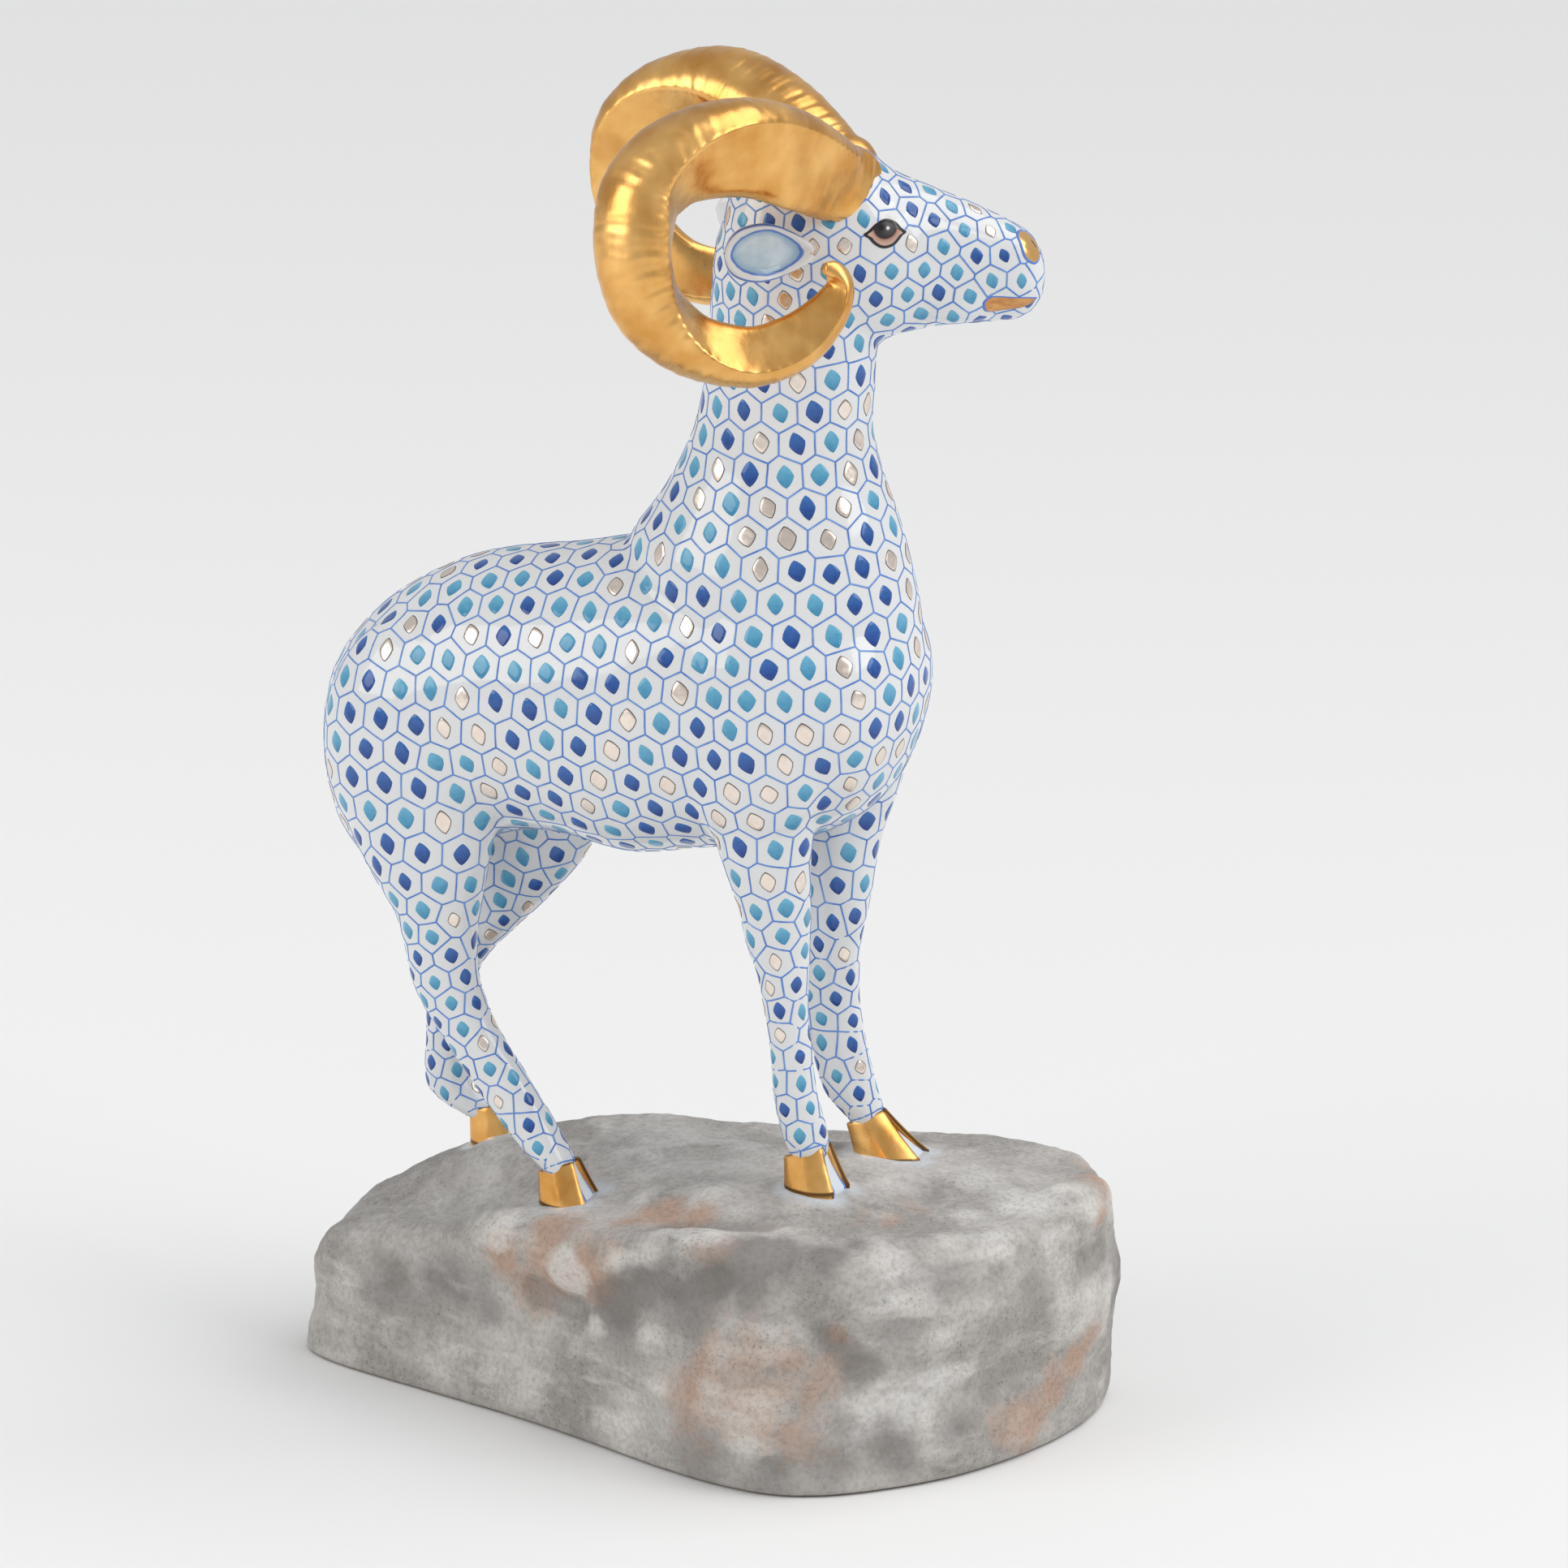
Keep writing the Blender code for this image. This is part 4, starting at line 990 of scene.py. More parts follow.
def platinum_material():
    """Rose platinum in a thin dark rim."""
    paint = PaintBench("rose_platinum", metallic=1.0)
    colour = paint.mix(paint.grain(500.0, 3.0), PLATINUM_DEEP, PLATINUM_PALE)
    return paint.done(
        base_color=paint.mix(paint.ramp(paint.kept("rim"), 0.80, 0.93), colour, PLATINUM_RIM),
        roughness=paint.ramp(paint.grain(700.0, 3.0), 0.3, 0.7, 0.16, 0.36),
    )


def ear_material(paints):
    """White rim between two blue lines, and a clouded pale grey-blue hollow, darker with painted shade
    towards its rim.
    """
    paint = PaintBench("painted_ear", roughness=0.08, ior=GLAZE_IOR)
    stray = paint.times(paint.minus(paint.grain(330.0, 2.0), 0.5), 0.09)
    inside = paint.plus(paint.kept("hollow"), stray)
    hollow_colour = paint.mix(paint.ramp(paint.grain(130.0, 3.0), 0.4, 0.62), EAR_GREY, EAR_PALE)
    # Painted shade darkens the hollow towards its rim
    hollow_colour = paint.mix(paint.ramp(inside, 0.19, 0.45), EAR_PAINTED_SHADE, hollow_colour)
    colour = paint.mix(paint.ramp(inside, 0.17, 0.21), paints.glaze, hollow_colour)
    inner = paint.fade(paint.band(inside, 0.19), 0.025, 0.05)
    colour = paint.mix(paint.times(inner, 0.9), colour, EAR_INNER_LINE)
    outer = paint.ramp(paint.plus(paint.kept("edge"), stray), 0.5, 0.75)
    return paint.done(base_color=paint.mix(paint.times(outer, 0.9), colour, EAR_OUTER_LINE))


def eye_material():
    """Dark lids, a pink-brown white of the eye, a dark clouded iris and a painted white highlight."""
    paint = PaintBench("painted_eye", roughness=0.07, ior=GLAZE_IOR)
    place = paint.kept("spot", "Vector")

    def disc(x, y, radius, soft):
        away = paint.node("ShaderNodeVectorMath", {0: place, 1: (x, y, 0)}, operation="DISTANCE")
        return paint.fade(away.outputs["Value"], radius - soft, radius + soft)

    white = paint.mix(disc(0.1, 1.3, 3.2, 0.9), EYE_PINK, EYE_BROWN)
    iris = paint.mix(disc(0.7, 1.9, 1.6, 1.0), IRIS_DARK, IRIS_GREY)
    iris = paint.mix(disc(-0.9, 1.35, 0.9, 0.5), iris, PUPIL_BLACK)
    colour = paint.mix(disc(0.0, 1.45, 2.6, 0.14), white, iris)
    # A painted highlight on the iris
    colour = paint.mix(disc(0.62, 1.15, 0.34, 0.16), colour, PAINTED_HIGHLIGHT_WHITE)
    return paint.done(base_color=paint.mix(paint.fade(paint.kept("inset"), 0.32, 0.42), colour, LID_BLACK))


def mouth_material():
    """Brown gilding within a blue line."""
    paint = PaintBench("brown_gilding", roughness=0.3)
    rim = paint.fade(paint.kept("inset"), 0.16, 0.26)
    gilt = paint.mix(paint.ramp(paint.grain(380.0, 3.0, (1, 1, 3)), 0.35, 0.65), MOUTH_DEEP, MOUTH_PALE)
    metal = paint.times(paint.minus(1.0, rim), 0.7)
    return paint.done(base_color=paint.mix(rim, gilt, FACE_LINE), metallic=metal)


def nose_material(paints):
    """Gilt nose within a blue line, with the dark slit of the nostril."""
    paint = PaintBench("gilt_nose", roughness=0.22)
    x, y, _ = paint.node("ShaderNodeSeparateXYZ", {0: paint.kept("spot", "Vector")}).outputs
    slit = paint.fade(paint.band(paint.plus(x, paint.times(y, 0.75)), 1.3), 0.2, 0.45)
    ends = paint.fade(paint.band(y, 0.7), 0.55, 0.95)
    rim = paint.fade(paint.kept("inset"), 0.2, 0.32)
    colour = paint.mix(paint.times(slit, ends), paints.gold_pale, NOSTRIL_BROWN)
    return paint.done(base_color=paint.mix(rim, colour, FACE_LINE), metallic=paint.minus(1.0, rim))


def rock_material(paints):
    """Matte bisque with brushed greys, warm stains, dark stains with painted shade under its ledges, painted
    shade in its creases, a painted contact shadow along its bottom edge, and fine specks.
    """
    paint = PaintBench("painted_bisque", ior=1.45)
    cloud, fine = paint.grain(42.0, 5.0), paint.grain(420.0, 6.0)
    brush = paint.grain(170.0, 6.0, (0.3, 0.3, 1.2))
    mottle = paint.plus(paint.times(cloud, 0.75), paint.times(fine, 0.25))
    glazed = paint.kept("glazed")

    # A listed mark with a torn edge: the stains, and the painted shade of the dark and crease marks
    def stain(name, grain, low, high):
        torn = paint.ramp(grain, low, high, -0.3, 0.12)
        return paint.ramp(paint.plus(paint.kept(name), torn), 0.12, 0.8)

    specks = paint.times(
        paint.ramp(paint.grain(1500.0, 3.0), 0.60, 0.68), paint.ramp(cloud, 0.42, 0.58, 1.0, 0.25)
    )
    colour = paint.mix(paint.ramp(mottle, 0.40, 0.60), paints.rock_dark, paints.rock_pale)
    for share, full, tone in (
        (paint.ramp(brush, 0.5, 0.72), 0.4, BRUSHED_GREY),
        (stain("pale", brush, 0.4, 0.6), 0.75, PALE_STAIN),
        # Dark stains, and painted shade under the ledges
        (stain("dark", mottle, 0.42, 0.58), 0.72, DARK_STAIN_AND_SHADE),
        (stain("warm", mottle, 0.42, 0.58), 0.85, paints.rock_stain),
        (stain("ridge", brush, 0.35, 0.6), 0.7, RIDGE_GREY),
        # Painted shade in the creases
        (stain("crease", mottle, 0.42, 0.58), 0.45, CREASE_SHADE),
        (paint.ramp(paint.grain(800.0, 5.0), 0.44, 0.66), 0.25, GRAIN_BROWN),
        # The brown at the bottom edge is a painted contact shadow within a millimetre of the floor
        (specks, 0.5, SPECK_BLACK), (glazed, 0.85, POOL_GREY), (paint.kept("bottom_shadow"), 0.75, FOOT_SHADOW),
    ):
        colour = paint.mix(paint.times(share, full), colour, tone)
    paint.bump(fine, 0.0009, 0.5)
    return paint.done(base_color=colour, roughness=paint.ramp(glazed, 0.2, 0.7, 0.78, 0.15))


def finish_piece(obj, material=None):
    """Gives a finished piece its material and ties it to the figurine."""
    if material:
        obj.data.materials.clear()
        obj.data.materials.append(material)
    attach(obj, "root")
    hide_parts(CAD_NODE)


def painted_spot(name, spot, side, surface, lift, material):
    """A painted patch on the head: a small grid within its outline, laid on the glaze."""
    place, facing, outline = spot
    centre = turned((place[0], side * place[1], place[2]))
    way = head_way((facing[0], side * facing[1], facing[2]))
    across = head_way((1, 0, 0))
    across = across - way * across.dot(way)
    across /= np.linalg.norm(across)
    up = np.cross(across, way)
    up *= 1 if up[2] > 0 else -1
    rim = closed_curve(outline, 64)
    points, flat, inset = [], [], []
    for share in (*SPOT_RINGS, 0.0):
        for x, y in (rim * share if share else [(0.0, 0.0)]):
            start = centre + across * x + up * y
            landed, normal, _, _ = surface.ray_cast(Vector(start + way * SPOT_REACH), Vector(-way))
            if landed is None:
                landed, normal, _, _ = surface.find_nearest(Vector(start))
            points.append(np.array(landed + normal * (lift if share < 1 else -SPOT_SINK)))
            flat.append((x, y, 0))
            inset.append((1 - share) * 1.6)
    points.append(np.mean(points[:len(rim)], axis=0) - way * 0.6)
    skin = np.array(points), patch_faces(len(rim), len(SPOT_RINGS))
    made = new_object(name, *skins_together([skin]))
    set_attribute(made, "spot", "FLOAT_VECTOR", flat + [(0, 0, 0)])
    set_attribute(made, "inset", "FLOAT", inset + [0])
    finish_piece(made, material)


def cell_sizes(points, settings):
    """Width of the net's cells at each point, in millimetres."""
    level = ROCK_HEIGHT + TRUNK_RISE
    crest = level + NECK_RISE
    trunk, leg, head = (value / MM for value in (settings.trunk_cell, settings.leg_cell, settings.head_cell))
    z = points[:, 2]
    size = np.interp(
        z, (ROCK_HEIGHT, level - 62, level - 30, level + 60, crest - 8, crest),
        (leg * 0.93, leg, trunk, trunk, trunk * 0.9, head),
    )
    ahead = (points - turned((0, 0, 0))) @ head_way((1, 0, 0))
    muzzle = (z > crest - 15) * np.clip((ahead - 22) / 25, 0, 1)
    return size * (1 - 0.16 * muzzle)


def first_seeds(points, normals, size, rng):
    """Cell middles in staggered rows, from lattices seen along the nearest axis, kept apart."""
    level_axes = np.argmax(np.abs(normals), axis=1)
    score = np.full(len(points), 9.0)
    for axis in range(3):
        chosen = level_axes == axis
        s = points[chosen][:, 1 if axis == 0 else 0]
        t = points[chosen][:, 1 if axis == 2 else 2]
        step = np.round(size[chosen] * 2) / 2
        row = np.round(t / (step * ROW_PITCH))
        shift = (row % 2) * step / 2
        column = np.round((s - shift) / step)
        score[chosen] = np.hypot(s - column * step - shift, t - row * step * ROW_PITCH)
    order = np.argsort(score + rng.random(len(points)) * 0.05)
    near = np.full(len(points), 1e9)
    seeds = []
    for wanted, tries in ((0.80, order[score[order] < 0.8]), (0.84, order)):
        for i in tries:
            if near[i] > wanted * size[i]:
                seeds.append(points[i])
                near = np.minimum(near, np.linalg.norm(points - points[i], axis=1))
    return np.array(seeds)


def labels_of(points, seeds):
    tree = KDTree(len(seeds))
    for i, seed in enumerate(seeds):
        tree.insert(seed, i)
    tree.balance()
    return np.array([tree.find(p)[1] for p in points])


def even_seeds(points, size, seeds, surface, rounds):
    """Moves each cell's middle to its centre of weight, a few rounds."""
    weights = 1 / size**4
    for _ in range(rounds):
        labels = labels_of(points, seeds)
        total = np.bincount(labels, weights, len(seeds))
        centres = [np.bincount(labels, weights * points[:, k], len(seeds)) for k in range(3)]
        centres = np.stack(centres, axis=1) / np.maximum(total, 1e-9)[:, None]
        centres[total == 0] = seeds[total == 0]
        seeds = np.array([tuple(surface.find_nearest(Vector(c))[0]) for c in centres])
    return seeds


def cell_borders(points, faces, seeds, surface):
    """Corners where three cells meet, and the borders that join them."""
    labels = labels_of(points, seeds)
    corners, meets = [], {}
    for face in faces:
        found = [labels[i] for i in face]
        if len(set(found)) < 3:
            continue
        spot = points[list(face)].mean(0)
        names = sorted(set(found))
        if len(names) == 3:
            a, b, c = seeds[names]
            u, v = b - a, c - a
            w = np.cross(u, v)
            centre = a + np.cross(u.dot(u) * v - v.dot(v) * u, w) / (2 * max(w.dot(w), 1e-9))
            landed = surface.find_nearest(Vector(centre))[0]
            if landed is not None and np.linalg.norm(np.array(landed) - spot) < CORNER_REACH:
                spot = np.array(landed)
        corners.append(spot)
        for p, q in zip(found, found[1:] + found[:1]):
            if p != q:
                meets.setdefault((min(p, q), max(p, q)), set()).add(len(corners) - 1)
    borders = []
    for members in meets.values():
        members = sorted(members)
        if len(members) < 2:
            continue
        places = np.array([corners[m] for m in members])
        spread = places - places.mean(0)
        ways = np.linalg.svd(spread)[2][0]
        line = [members[i] for i in np.argsort(spread @ ways)]
        borders += list(zip(line, line[1:]))
    return np.array(corners), borders


def fleck_shape(settings):
    """A low lozenge with soft sides, one unit of the net's flecks."""
    half_long, half_wide = settings.length / MM / 2, settings.width / MM / 2
    outline = []
    for c, s in oval(16):
        reach = (abs(c) ** FLECK_POWER + abs(s) ** FLECK_POWER) ** (-1 / FLECK_POWER)
        outline.append((half_wide * c * reach, half_long * s * reach))
    rim = np.array(outline)
    points, rise, stroke, edge = [], [], [], []
    for share in (*FLECK_RINGS, 0.0):
        for x, y in (rim * share if share else [(0.0, 0.0)]):
            points.append((x, y, 0))
            rise.append(settings.rise * (1 if share < 1 else -0.6))
            stroke.append(0.5 + 0.5 * y / half_long)
            edge.append(share)
    made = new_object("fleck_shape", points + [(0, 0, -0.1)], patch_faces(len(rim), len(FLECK_RINGS)))
    set_attribute(made, "rise", "FLOAT", rise + [-settings.rise * 2.5])
    set_attribute(made, "stroke", "FLOAT", stroke + [0.5])
    set_attribute(made, "rim", "FLOAT", edge + [1])
    return made


def horn_mesh(name, side):
    """A horn's smooth skin with its run, crown, ridge and girth kept as attributes."""
    fine = curve_rows(HORN_ROWS, 12)
    run = run_along(fine[:, :3])
    stops = np.linspace(0, run[-1], HORN_RINGS)
    rows = rows_at(stops, run, fine)
    for _ in range(6):
        rows[1:-1] = (rows[:-2] + 2 * rows[1:-1] + rows[2:]) / 4
    ways = np.gradient(rows[:, :3], axis=0)
    half = curve_rows(HORN_SECTION, 3)
    section = np.vstack([half, (half * (1, -1))[-2:0:-1]])
    ridge_at = np.array(HORN_SECTION[HORN_RIDGE])
    rings, attributes = [], {"run": [], "crown": [], "ridge": [], "girth": []}
    for row, way, stop in zip(rows, ways, stops):
        way = way / np.linalg.norm(way)
        out = row[:3] - HORN_LOOP
        out = out - way * out.dot(way)
        out /= np.linalg.norm(out)
        across = np.cross(out, way)
        across *= 1 if across[1] > 0 else -1
        roll = math.radians(row[5])
        out, across = (
            out * math.cos(roll) + across * math.sin(roll), across * math.cos(roll) - out * math.sin(roll)
        )
        ring = row[:3] + np.outer(section[:, 0] * row[3], out) + np.outer(section[:, 1] * row[4], across)
        rings.append(turned(ring * (1, side, 1)))
        share = stop / run[-1]
        for r, s in section:
            away = math.hypot(r - ridge_at[0], abs(s) - ridge_at[1])
            attributes["run"].append(share)
            attributes["crown"].append(np.clip((r - 0.16) / 0.22, 0, 1) + 0.12)
            attributes["ridge"].append(math.exp(-((away / 0.055) ** 2)))
            attributes["girth"].append(min(row[3] / 14, 1) * np.clip(min(1 - share, share) * 9, 0, 1))
    made = new_object(name, *skins_together([skin_of(rings)]))
    for label, values in attributes.items():
        set_attribute(made, label, "FLOAT", values + [0.0, 0.0])
    return made


def ear_mesh(name, side):
    """A leaf-shaped ear, hollowed on the face that looks out and forward."""
    root, tip = np.array(EAR_ROOT), np.array(EAR_TIP)
    way = (tip - root) / np.linalg.norm(tip - root)
    out = np.cross(way, (0, 0, 1))
    out = out / np.linalg.norm(out) * (1 if out[1] > 0 else -1)
    up = np.cross(out, way)
    up = up * (1 if up[2] > 0 else -1)
    widest = max(row[1] for row in EAR_ROWS)
    rings, hollow, edge = [], [], []
    for share, wide, thick in curve_rows(EAR_ROWS, 6):
        middle = root + (tip - root) * share
        along = (share - 0.55) / 0.455
        ring = []
        for c, s in oval(BODY_SIDES):
            sideways = wide * c / widest * (1.08 + 0.9 * max(-along, 0) ** 2)
            inside = max(0, 1 - math.hypot(sideways, along)) if s > 0 else 0
            cup = EAR_CUP * math.sin(min(inside / 0.5, 1) * math.pi / 2)
            ring.append(middle + up * wide * c + out * (thick / 2 * s - cup))
            hollow.append(inside)
            edge.append(math.exp(-(((s - 0.24) / 0.22) ** 2)) if share > 0.2 else 0)
        rings.append(turned(np.array(ring) * (1, side, 1)))
    made = new_object(name, *skins_together([skin_of(rings)]))
    set_attribute(made, "hollow", "FLOAT", hollow + [0.0, 0.0])
    set_attribute(made, "edge", "FLOAT", edge + [0.0, 1.0])
    return made


def hoof_mesh():
    """The gilt toes of the four hooves, with the nearness of their painted edges kept."""
    skins, edges = [], []
    plan = closed_curve(TOE_PLAN, TOE_SIDES)
    front = np.exp(-(((plan[:, 0] - 1.0) / 0.06) ** 2)) * (plan[:, 1] < 0.2)
    for hoof, _ in LEGS:
        for side in (-1, 1):
            skins.append(skin_of([toe_ring(hoof, side, share, drawn) for share, drawn in TOE_ROWS]))
            for share, _ in TOE_ROWS:
                edges += list(np.maximum(front, max(1 - (1 - share) / 0.1, 1 - abs(share) / 0.12, 0)))
            edges += [0.0, 1.0]
    made = new_object("gilt_hooves", *skins_together(skins))
    set_attribute(made, "edge", "FLOAT", edges)
    return made


def hoof_outlines():
    """Courses of the blue line round each hoof's upper edge."""
    points, courses = [], []
    share, outside = HOOF_LINE
    outer = closed_curve(TOE_PLAN, TOE_SIDES)[:, 1] > 0.03
    for hoof, _ in LEGS:
        for side in (-1, 1):
            ring = toe_ring(hoof, side, share, -outside)[outer]
            courses += [(len(points) + i, len(points) + i + 1) for i in range(len(ring) - 1)]
            points += list(ring)
    return np.array(points), courses


def rock_mesh(settings):
    """The rock's soft cage, finely divided, weathered, with its ledges, its stains, and the marks of its
    painted shade under the ledges, in the creases and along the bottom edge.
    """
    plan = np.array(ROCK_OUTLINE, float)[:, :2]
    low, high = plan.min(axis=0), plan.max(axis=0)
    plan = (plan - (low + high) / 2) / (high - low) * (ROCK_LENGTH, ROCK_WIDTH)
    reach = np.hypot(*plan.T)
    leans = [lean for _, _, lean in ROCK_OUTLINE]
    rings = []
    for cut, share in ROCK_WALL_ROWS:
        inset = cut * (ROCK_EDGE if share else ROCK_FOOT)
        kept = [1 - (inset + lean * share) / r for r, lean in zip(reach, leans)]
        rings.append([(x * k, y * k, share * (rock_top(x, y) + ROCK_SWELL)) for (x, y), k in zip(plan, kept)])
    for share in ROCK_TOP_ROWS:
        kept = [(1 - (ROCK_EDGE + lean) / r) * share for r, lean in zip(reach, leans)]
        rings.append([(x * k, y * k, rock_top(x * k, y * k) + ROCK_SWELL) for (x, y), k in zip(plan, kept)])
    rock = new_object("bisque_rock", *skins_together([skin_of(rings)]))
    soften = rock.modifiers.new("soften", "SUBSURF")
    soften.levels = soften.render_levels = 4
    with_modifiers_applied(rock)
    points, normals = points_of(rock), normals_of(rock)
    held = np.clip(points[:, 2] / 4, 0, 1)
    near_hoof = np.min([
        np.hypot(points[:, 0] - x - RAM_X, points[:, 1] - y - RAM_Y) for (x, y, *_), _ in LEGS
    ], axis=0)
    calm = np.clip((near_hoof - 6) / 14, 0.15, 1)
    lumps = np.array([noise.noise(Vector(p / 26)) + 0.5 * noise.noise(Vector(p / 11)) for p in points])
    grain = np.array([noise.noise(Vector(p / 4.2)) + 0.5 * noise.noise(Vector(p / 1.9)) for p in points])
    rise = settings.weathering / MM * lumps
    for x1, y1, z1, x2, y2, z2, wide, height in ROCK_FORMS:
        start, end = np.array((x1, y1, z1)), np.array((x2, y2, z2))
        along = np.clip((points - start) @ (end - start) / np.sum((end - start) ** 2), 0, 1)
        away = np.linalg.norm(points - start - along[:, None] * (end - start), axis=1)
        rise += FORM_HEIGHT * height * np.exp(-((away / wide) ** 2))
    ends = np.empty(len(rock.data.edges) * 2, int)
    rock.data.edges.foreach_get("vertices", ends)
    one, other = ends[::2], ends[1::2]
    count = np.bincount(ends, minlength=len(points))
    even = rise.copy()
    for _ in range(60):
        total = np.bincount(one, even[other], len(points)) + np.bincount(other, even[one], len(points))
        even = (even + total / count) / 2
    hollow = even - rise
    rise = rise * calm * held + grain * settings.grain / MM * held * (0.35 + 0.65 * calm)
    points = points + normals * rise[:, None]
    for hoof, _ in LEGS:
        away = np.hypot(points[:, 0] - hoof[0] - RAM_X, points[:, 1] - hoof[1] - RAM_Y)
        points[:, 2] += hoof[7] * np.exp(-((away / MOUND_REACH) ** 4)) * (normals[:, 2] > 0.3)
    for x, y, reach, height in MOUNDS:
        away = np.hypot(points[:, 0] - x, points[:, 1] - y)
        points[:, 2] += height * np.exp(-((away / reach) ** 4)) * (normals[:, 2] > 0.3)
    points[:, 2] = np.maximum(points[:, 2], 0)
    move_points(rock, points)
    noise.seed_set(settings.seed)
    strayed = points + np.array([
        5 * noise.noise_vector(Vector(p / 16)) + 2 * noise.noise_vector(Vector(p / 5)) for p in points
    ])
    # Warm and pale stains, and dark stains that also paint shade under the ledges
    for name, stains in (("warm", WARM_STAINS), ("dark", DARK_STAINS_AND_SHADE), ("pale", PALE_STAINS)):
        share = np.zeros(len(points))
        for x, y, z, wide, strength in stains:
            away = np.linalg.norm(strayed - (x, y, z), axis=1)
            share = np.maximum(share, strength * np.exp(-((away / wide) ** 2)) * 1.25)
        set_attribute(rock, name, "FLOAT", np.clip(share, 0, 1))
    toes = np.vstack([toe_ring(hoof, side, 0, 0)[:, :2] for hoof, _ in LEGS for side in (-1, 1)])
    tree = KDTree(len(toes))
    for i, (x, y) in enumerate(toes):
        tree.insert((x, y, 0), i)
    tree.balance()
    near_toe = np.array([tree.find((x, y, 0))[2] for x, y, _ in points])
    # Painted shade in the creases, where a point lies below its smoothed neighbours
    set_attribute(rock, "crease", "FLOAT", np.clip(hollow * 1.6 - 0.1, 0, 1))
    set_attribute(rock, "ridge", "FLOAT", np.clip(-hollow * 1.6 - 0.1, 0, 1))
    set_attribute(rock, "glazed", "FLOAT", np.clip((4.0 - near_toe) / 3.2, 0, 1) * (normals[:, 2] > 0.5))
    # Painted contact shadow within a millimetre of the floor
    set_attribute(rock, "bottom_shadow", "FLOAT", np.clip((1.0 - points[:, 2]) / 0.8, 0, 1))
    return rock


class RAM_OT_body(bpy.types.Operator):
    """Makes the glazed porcelain body"""

    bl_idname = "ram.body"
    bl_label = "Glazed body"

    def execute(self, context):
        settings = context.scene.ram_body
        body = new_object("porcelain_body", *skins_together(ram_skins()))
        blend = body.modifiers.new("blend", "REMESH")
        blend.mode = "VOXEL"
        blend.voxel_size = settings.grid
        soften = body.modifiers.new("soften", "SMOOTH")
        soften.iterations = settings.rounds
        soften.factor = 0.5
        with_modifiers_applied(body)
        body.data.shade_smooth()
        finish_piece(body, porcelain_material(context.scene.ram_paints))
        return {"FINISHED"}


class RAM_OT_ears(bpy.types.Operator):
    """Makes both ears with their painted hollows"""

    bl_idname = "ram.ears"
    bl_label = "Ears"

    def execute(self, context):
        paint = ear_material(context.scene.ram_paints)
        for side, name in ((-1, "right_ear"), (1, "left_ear")):
            finish_piece(ear_mesh(name, side), paint)
        return {"FINISHED"}


class RAM_OT_horns(bpy.types.Operator):
    """Makes both gilt horns, ribbed by Geometry Nodes"""

    bl_idname = "ram.horns"
    bl_label = "Gilt horns"

    def execute(self, context):
        settings = context.scene.ram_horns
        tree, gilding = rib_tree(), gilding_material(context.scene.ram_paints)
        for side, name in ((-1, "right_horn"), (1, "left_horn")):
            horn = horn_mesh(name, side)
            run_tree(horn, tree, {
                "Ribs": settings.ribs, "Rib depth": settings.rib_depth, "Beads": settings.beads,
                "Bead depth": settings.bead_depth, "Gilding": gilding,
            })
            horn.data.shade_smooth()
            finish_piece(horn)
        return {"FINISHED"}


class RAM_OT_hooves(bpy.types.Operator):
    """Makes the gilt toes of the four hooves"""

    bl_idname = "ram.hooves"
    bl_label = "Gilt hooves"

    def execute(self, context):
        paints = context.scene.ram_paints
        hooves = hoof_mesh()
        hooves.data.set_sharp_from_angle(angle=math.radians(42))
        finish_piece(hooves, gilding_material(paints, "bordered_gilding", True))
        finish_piece(cleft_mesh(), cleft_material())
        return {"FINISHED"}


class RAM_OT_rock(bpy.types.Operator):
    """Makes the painted bisque rock"""

    bl_idname = "ram.rock"
    bl_label = "Bisque rock"

    def execute(self, context):
        rock = rock_mesh(context.scene.ram_rock)
        finish_piece(rock, rock_material(context.scene.ram_paints))
        return {"FINISHED"}


class RAM_OT_face(bpy.types.Operator):
    """Paints the eyes, the nose and the mouth"""

    bl_idname = "ram.face"
    bl_label = "Painted face"

    def execute(self, context):
        surface = surface_of(bpy.data.objects["porcelain_body"])
        spots = (
            ("eye", EYE, 0.16, eye_material(), "porcelain"),
            ("nose", NOSE, 0.14, nose_material(context.scene.ram_paints), "gilding"),
            ("mouth", MOUTH, 0.13, mouth_material(), "gilding"),
        )
        for side, place in ((-1, "right_"), (1, "left_")):
            for name, spot, lift, paint, slot in spots:
                painted_spot(place + name, spot, side, surface, lift, paint)
        return {"FINISHED"}


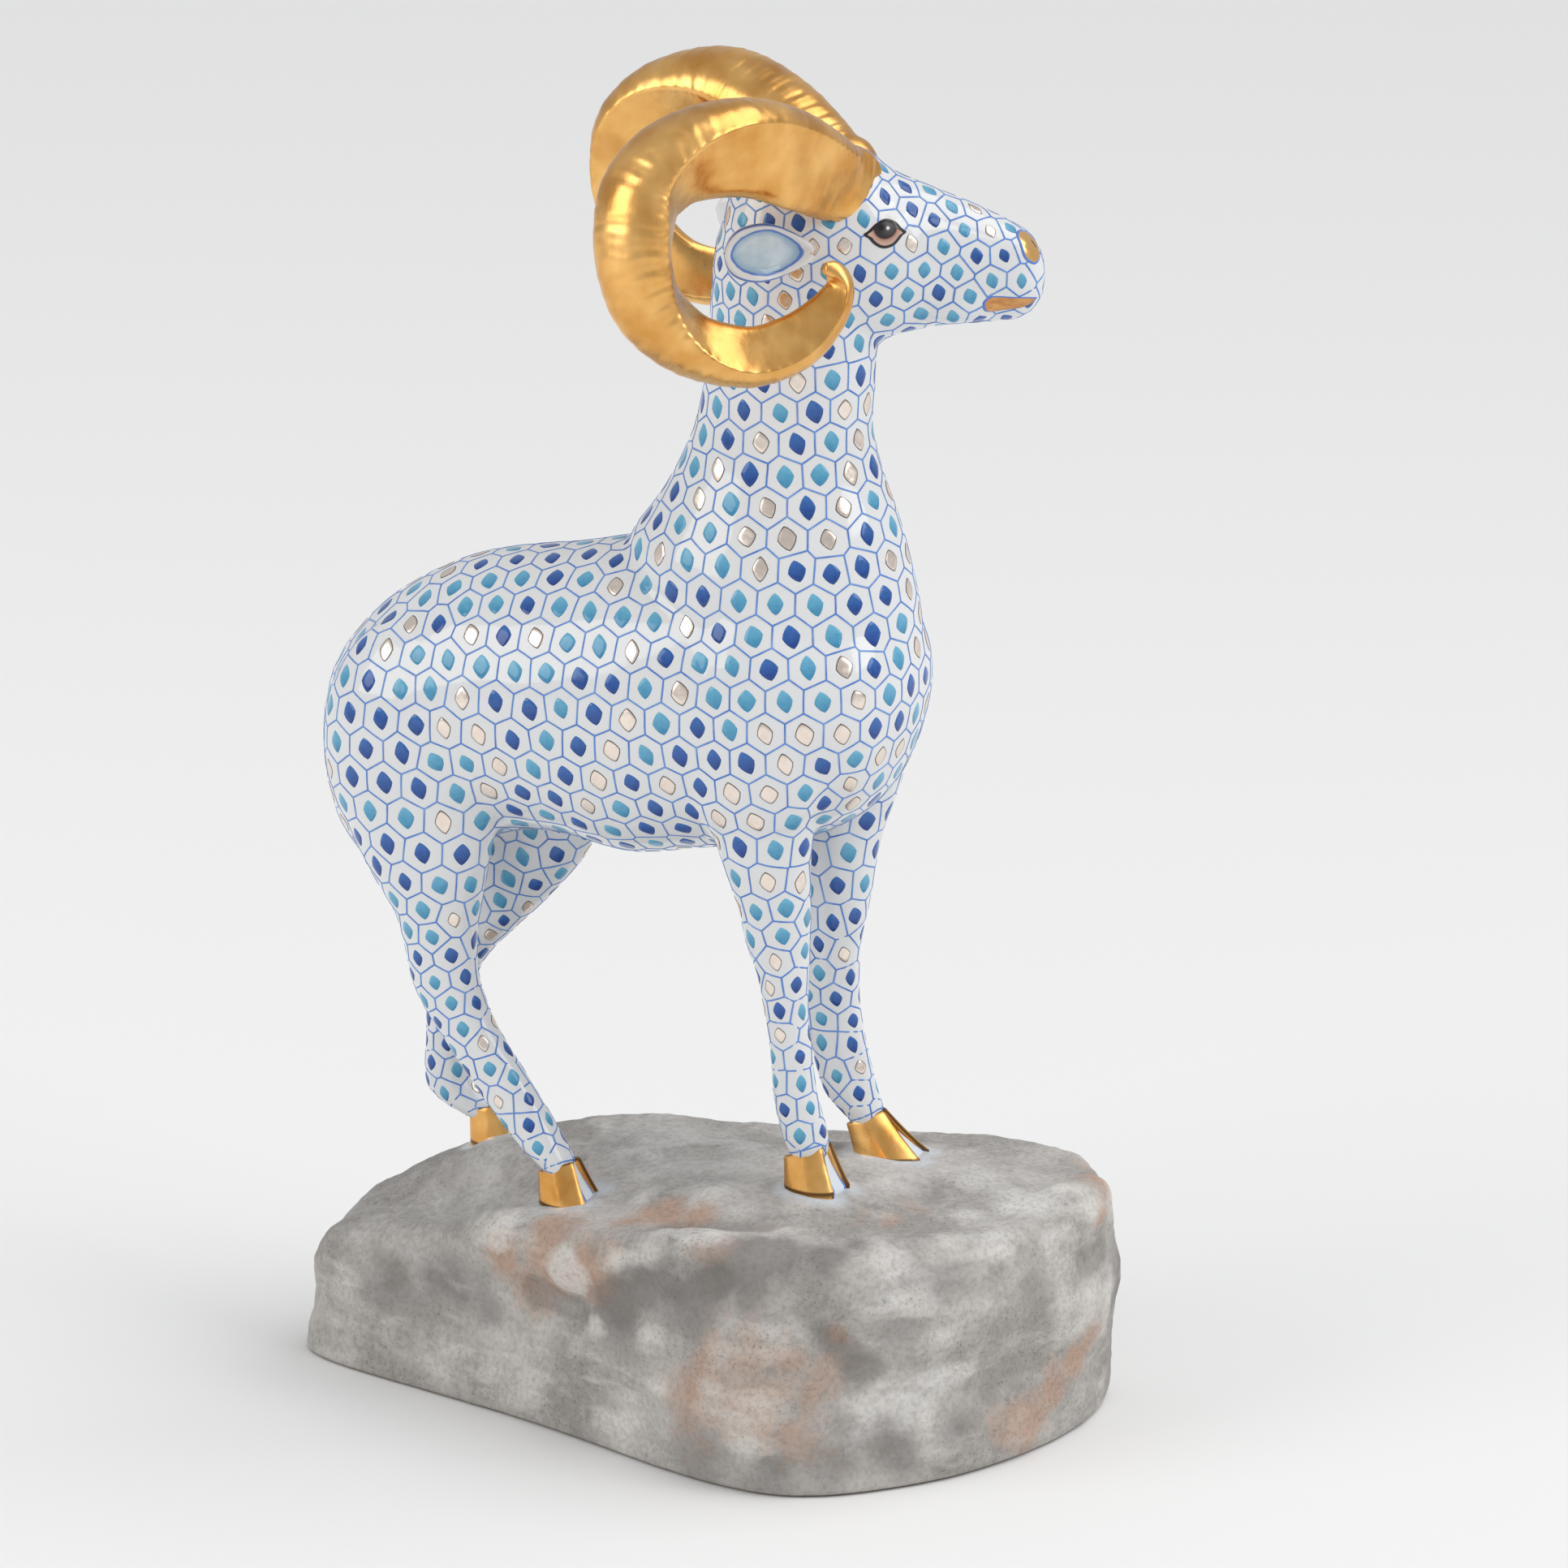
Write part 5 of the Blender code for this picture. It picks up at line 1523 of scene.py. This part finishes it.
class RAM_OT_net(bpy.types.Operator):
    """Paints the honeycomb net and a fleck in the middle of each cell"""

    bl_idname = "ram.net"
    bl_label = "Painted net"

    def execute(self, context):
        settings = context.scene.ram_net
        rng = np.random.default_rng(settings.seed)
        body = bpy.data.objects["porcelain_body"]
        points, normals, surface = points_of(body), normals_of(body), surface_of(body)
        faces = [tuple(face.vertices) for face in body.data.polygons]
        size = cell_sizes(points, settings)
        seeds = first_seeds(points, normals, size, rng)
        seeds = even_seeds(points, size, seeds, surface, settings.rounds)
        corners, borders = cell_borders(points, faces, seeds, surface)
        hoof_points, courses = hoof_outlines()
        borders += [(a + len(corners), b + len(corners)) for a, b in courses]
        lines = new_object("net_lines", np.vstack([corners, hoof_points]), [], borders)
        run_tree(lines, line_tree(), {
            "Surface": body, "Width": settings.width, "Lift": settings.lift,
            "Step": settings.step, "Wobble": settings.wobble,
            "Paint": line_material(context.scene.ram_paints),
        })
        lines.data.shade_smooth()
        finish_piece(lines)
        self.paint_flecks(context, seeds, surface, rng)
        return {"FINISHED"}

    def paint_flecks(self, context, seeds, surface, rng):
        """Sets a fleck in each cell, away from the face's spots and the hooves"""
        body = bpy.data.objects["porcelain_body"]
        net, paints = context.scene.ram_net, context.scene.ram_paints
        behind, above, reach = BARE_HOOF
        bare = [(turned((a, side * b, c)), r) for a, b, c, r in BARE_SPOTS for side in (-1, 1)]
        for hoof, _ in LEGS:
            over = (hoof[0] + RAM_X - behind, hoof[1] + RAM_Y, sole_of(hoof) + above)
            bare.append((np.array(over), reach))
        kept = np.array([s for s in seeds if all(np.linalg.norm(s - p) > r for p, r in bare)])
        facing = np.array([tuple(surface.find_nearest(Vector(s))[1]) for s in kept])
        top = np.array(FLECK_TOP)
        upward = top - facing * (facing @ top)[:, None]
        sides = np.cross(upward, facing)
        lean = rng.normal(0, 0.10, len(kept))[:, None]
        upward = upward + sides * lean
        size = cell_sizes(kept, net) / (net.trunk_cell / MM)
        grow = size[:, None] * rng.uniform(0.9, 1.12, (len(kept), 3))
        draw = rng.random(len(kept))
        tint = (draw > TINT_SHARES[0]).astype(int) + (draw > TINT_SHARES[1])
        fleck = fleck_shape(context.scene.ram_flecks)
        enamels = (
            enamel_material("cobalt_enamel", paints.cobalt, COBALT_LIGHT),
            enamel_material("turquoise_enamel", paints.turquoise, TURQUOISE_LIGHT),
            platinum_material(),
        )
        tree = fleck_tree()
        for i, name in enumerate(TINTS):
            spots = new_object(name + "_flecks", kept, [])
            for label, values in (("facing", facing), ("upward", upward), ("grow", grow)):
                set_attribute(spots, label, "FLOAT_VECTOR", values)
            set_attribute(spots, "tint", "INT", tint)
            run_tree(spots, tree, {"Surface": body, "Fleck": fleck, "Tint": i, "Paint": enamels[i]})
            spots.data.shade_smooth()
            finish_piece(spots)
        bpy.data.objects.remove(fleck)


class RAM_OT_stage(bpy.types.Operator):
    """Sets the floor, the studio light and the camera"""

    bl_idname = "ram.stage"
    bl_label = "Stage"

    def execute(self, context):
        settings = context.scene.ram_stage
        corners = [(x * FLOOR_HALF, y * FLOOR_HALF, 0) for x, y in ((-1, -1), (1, -1), (1, 1), (-1, 1))]
        floor = new_object("floor", corners, [(0, 1, 2, 3)])
        floor.data.materials.append(PaintBench("pale_paper", roughness=0.9, base_color=PAPER_WHITE).done())
        sky = bpy.data.lights.new("skylight", "SUN")
        sky.energy = settings.skylight
        sky.angle = math.radians(SKYLIGHT_SPREAD)
        self.stand(context, "skylight", sky, (0, 0, 0), Vector(SKYLIGHT_WAY))
        for name, place, size, share, colour in SOFTBOXES:
            softbox = bpy.data.lights.new(name + "_softbox", "AREA")
            softbox.size = size
            softbox.energy = settings.key * share
            softbox.color = colour
            self.stand(context, name + "_softbox", softbox, place, Vector(SOFTBOX_AIM) - Vector(place))
        world = bpy.data.worlds.new("studio")
        world.use_nodes = True
        background = world.node_tree.nodes["Background"].inputs
        background["Color"].default_value = ROOM_TINT
        background["Strength"].default_value = settings.room
        context.scene.world = world
        context.scene.view_settings.view_transform = "Standard"
        lens = bpy.data.cameras.new("camera")
        lens.lens = settings.lens
        aim = Vector(settings.target) - Vector(settings.camera)
        context.scene.camera = self.stand(context, "camera", lens, settings.camera, aim)
        return {"FINISHED"}

    def stand(self, context, name, data, place, way):
        """Stands a light or the camera in its place, looking the given way"""
        made = bpy.data.objects.new(name, data)
        made.location = place
        made.rotation_euler = way.to_track_quat("-Z", "Y").to_euler()
        context.scene.collection.objects.link(made)
        return made


OPERATORS = (
    RAM_OT_body, RAM_OT_ears, RAM_OT_horns, RAM_OT_hooves, RAM_OT_rock, RAM_OT_face, RAM_OT_net, RAM_OT_stage,
)
SETTINGS = (
    ("ram_body", RamBodySettings), ("ram_net", RamNetSettings), ("ram_flecks", RamFleckSettings),
    ("ram_horns", RamHornSettings), ("ram_rock", RamRockSettings), ("ram_paints", RamPaintSettings),
    ("ram_stage", RamStageSettings),
)


class RAM_PT_panel(bpy.types.Panel):
    """Lists the steps in the order in which they run"""

    bl_idname = "RAM_PT_panel"
    bl_label = "Porcelain ram"
    bl_space_type = "VIEW_3D"
    bl_region_type = "UI"
    bl_category = "Ram"

    def draw(self, context):
        for operator in OPERATORS:
            self.layout.operator(operator.bl_idname)


def register():
    for name, group in SETTINGS:
        bpy.utils.register_class(group)
        setattr(bpy.types.Scene, name, PointerProperty(type=group))
    for kind in (*OPERATORS, RAM_PT_panel):
        bpy.utils.register_class(kind)


def unregister():
    for kind in (RAM_PT_panel, *reversed(OPERATORS)):
        bpy.utils.unregister_class(kind)
    for name, group in reversed(SETTINGS):
        delattr(bpy.types.Scene, name)
        bpy.utils.unregister_class(group)


def main():
    register()
    bpy.ops.ram.body()
    bpy.ops.ram.ears()
    bpy.ops.ram.horns()
    bpy.ops.ram.hooves()
    bpy.ops.ram.rock()
    bpy.ops.ram.face()
    bpy.ops.ram.net()
    bpy.ops.ram.stage()


if __name__ == "__main__":
    main()
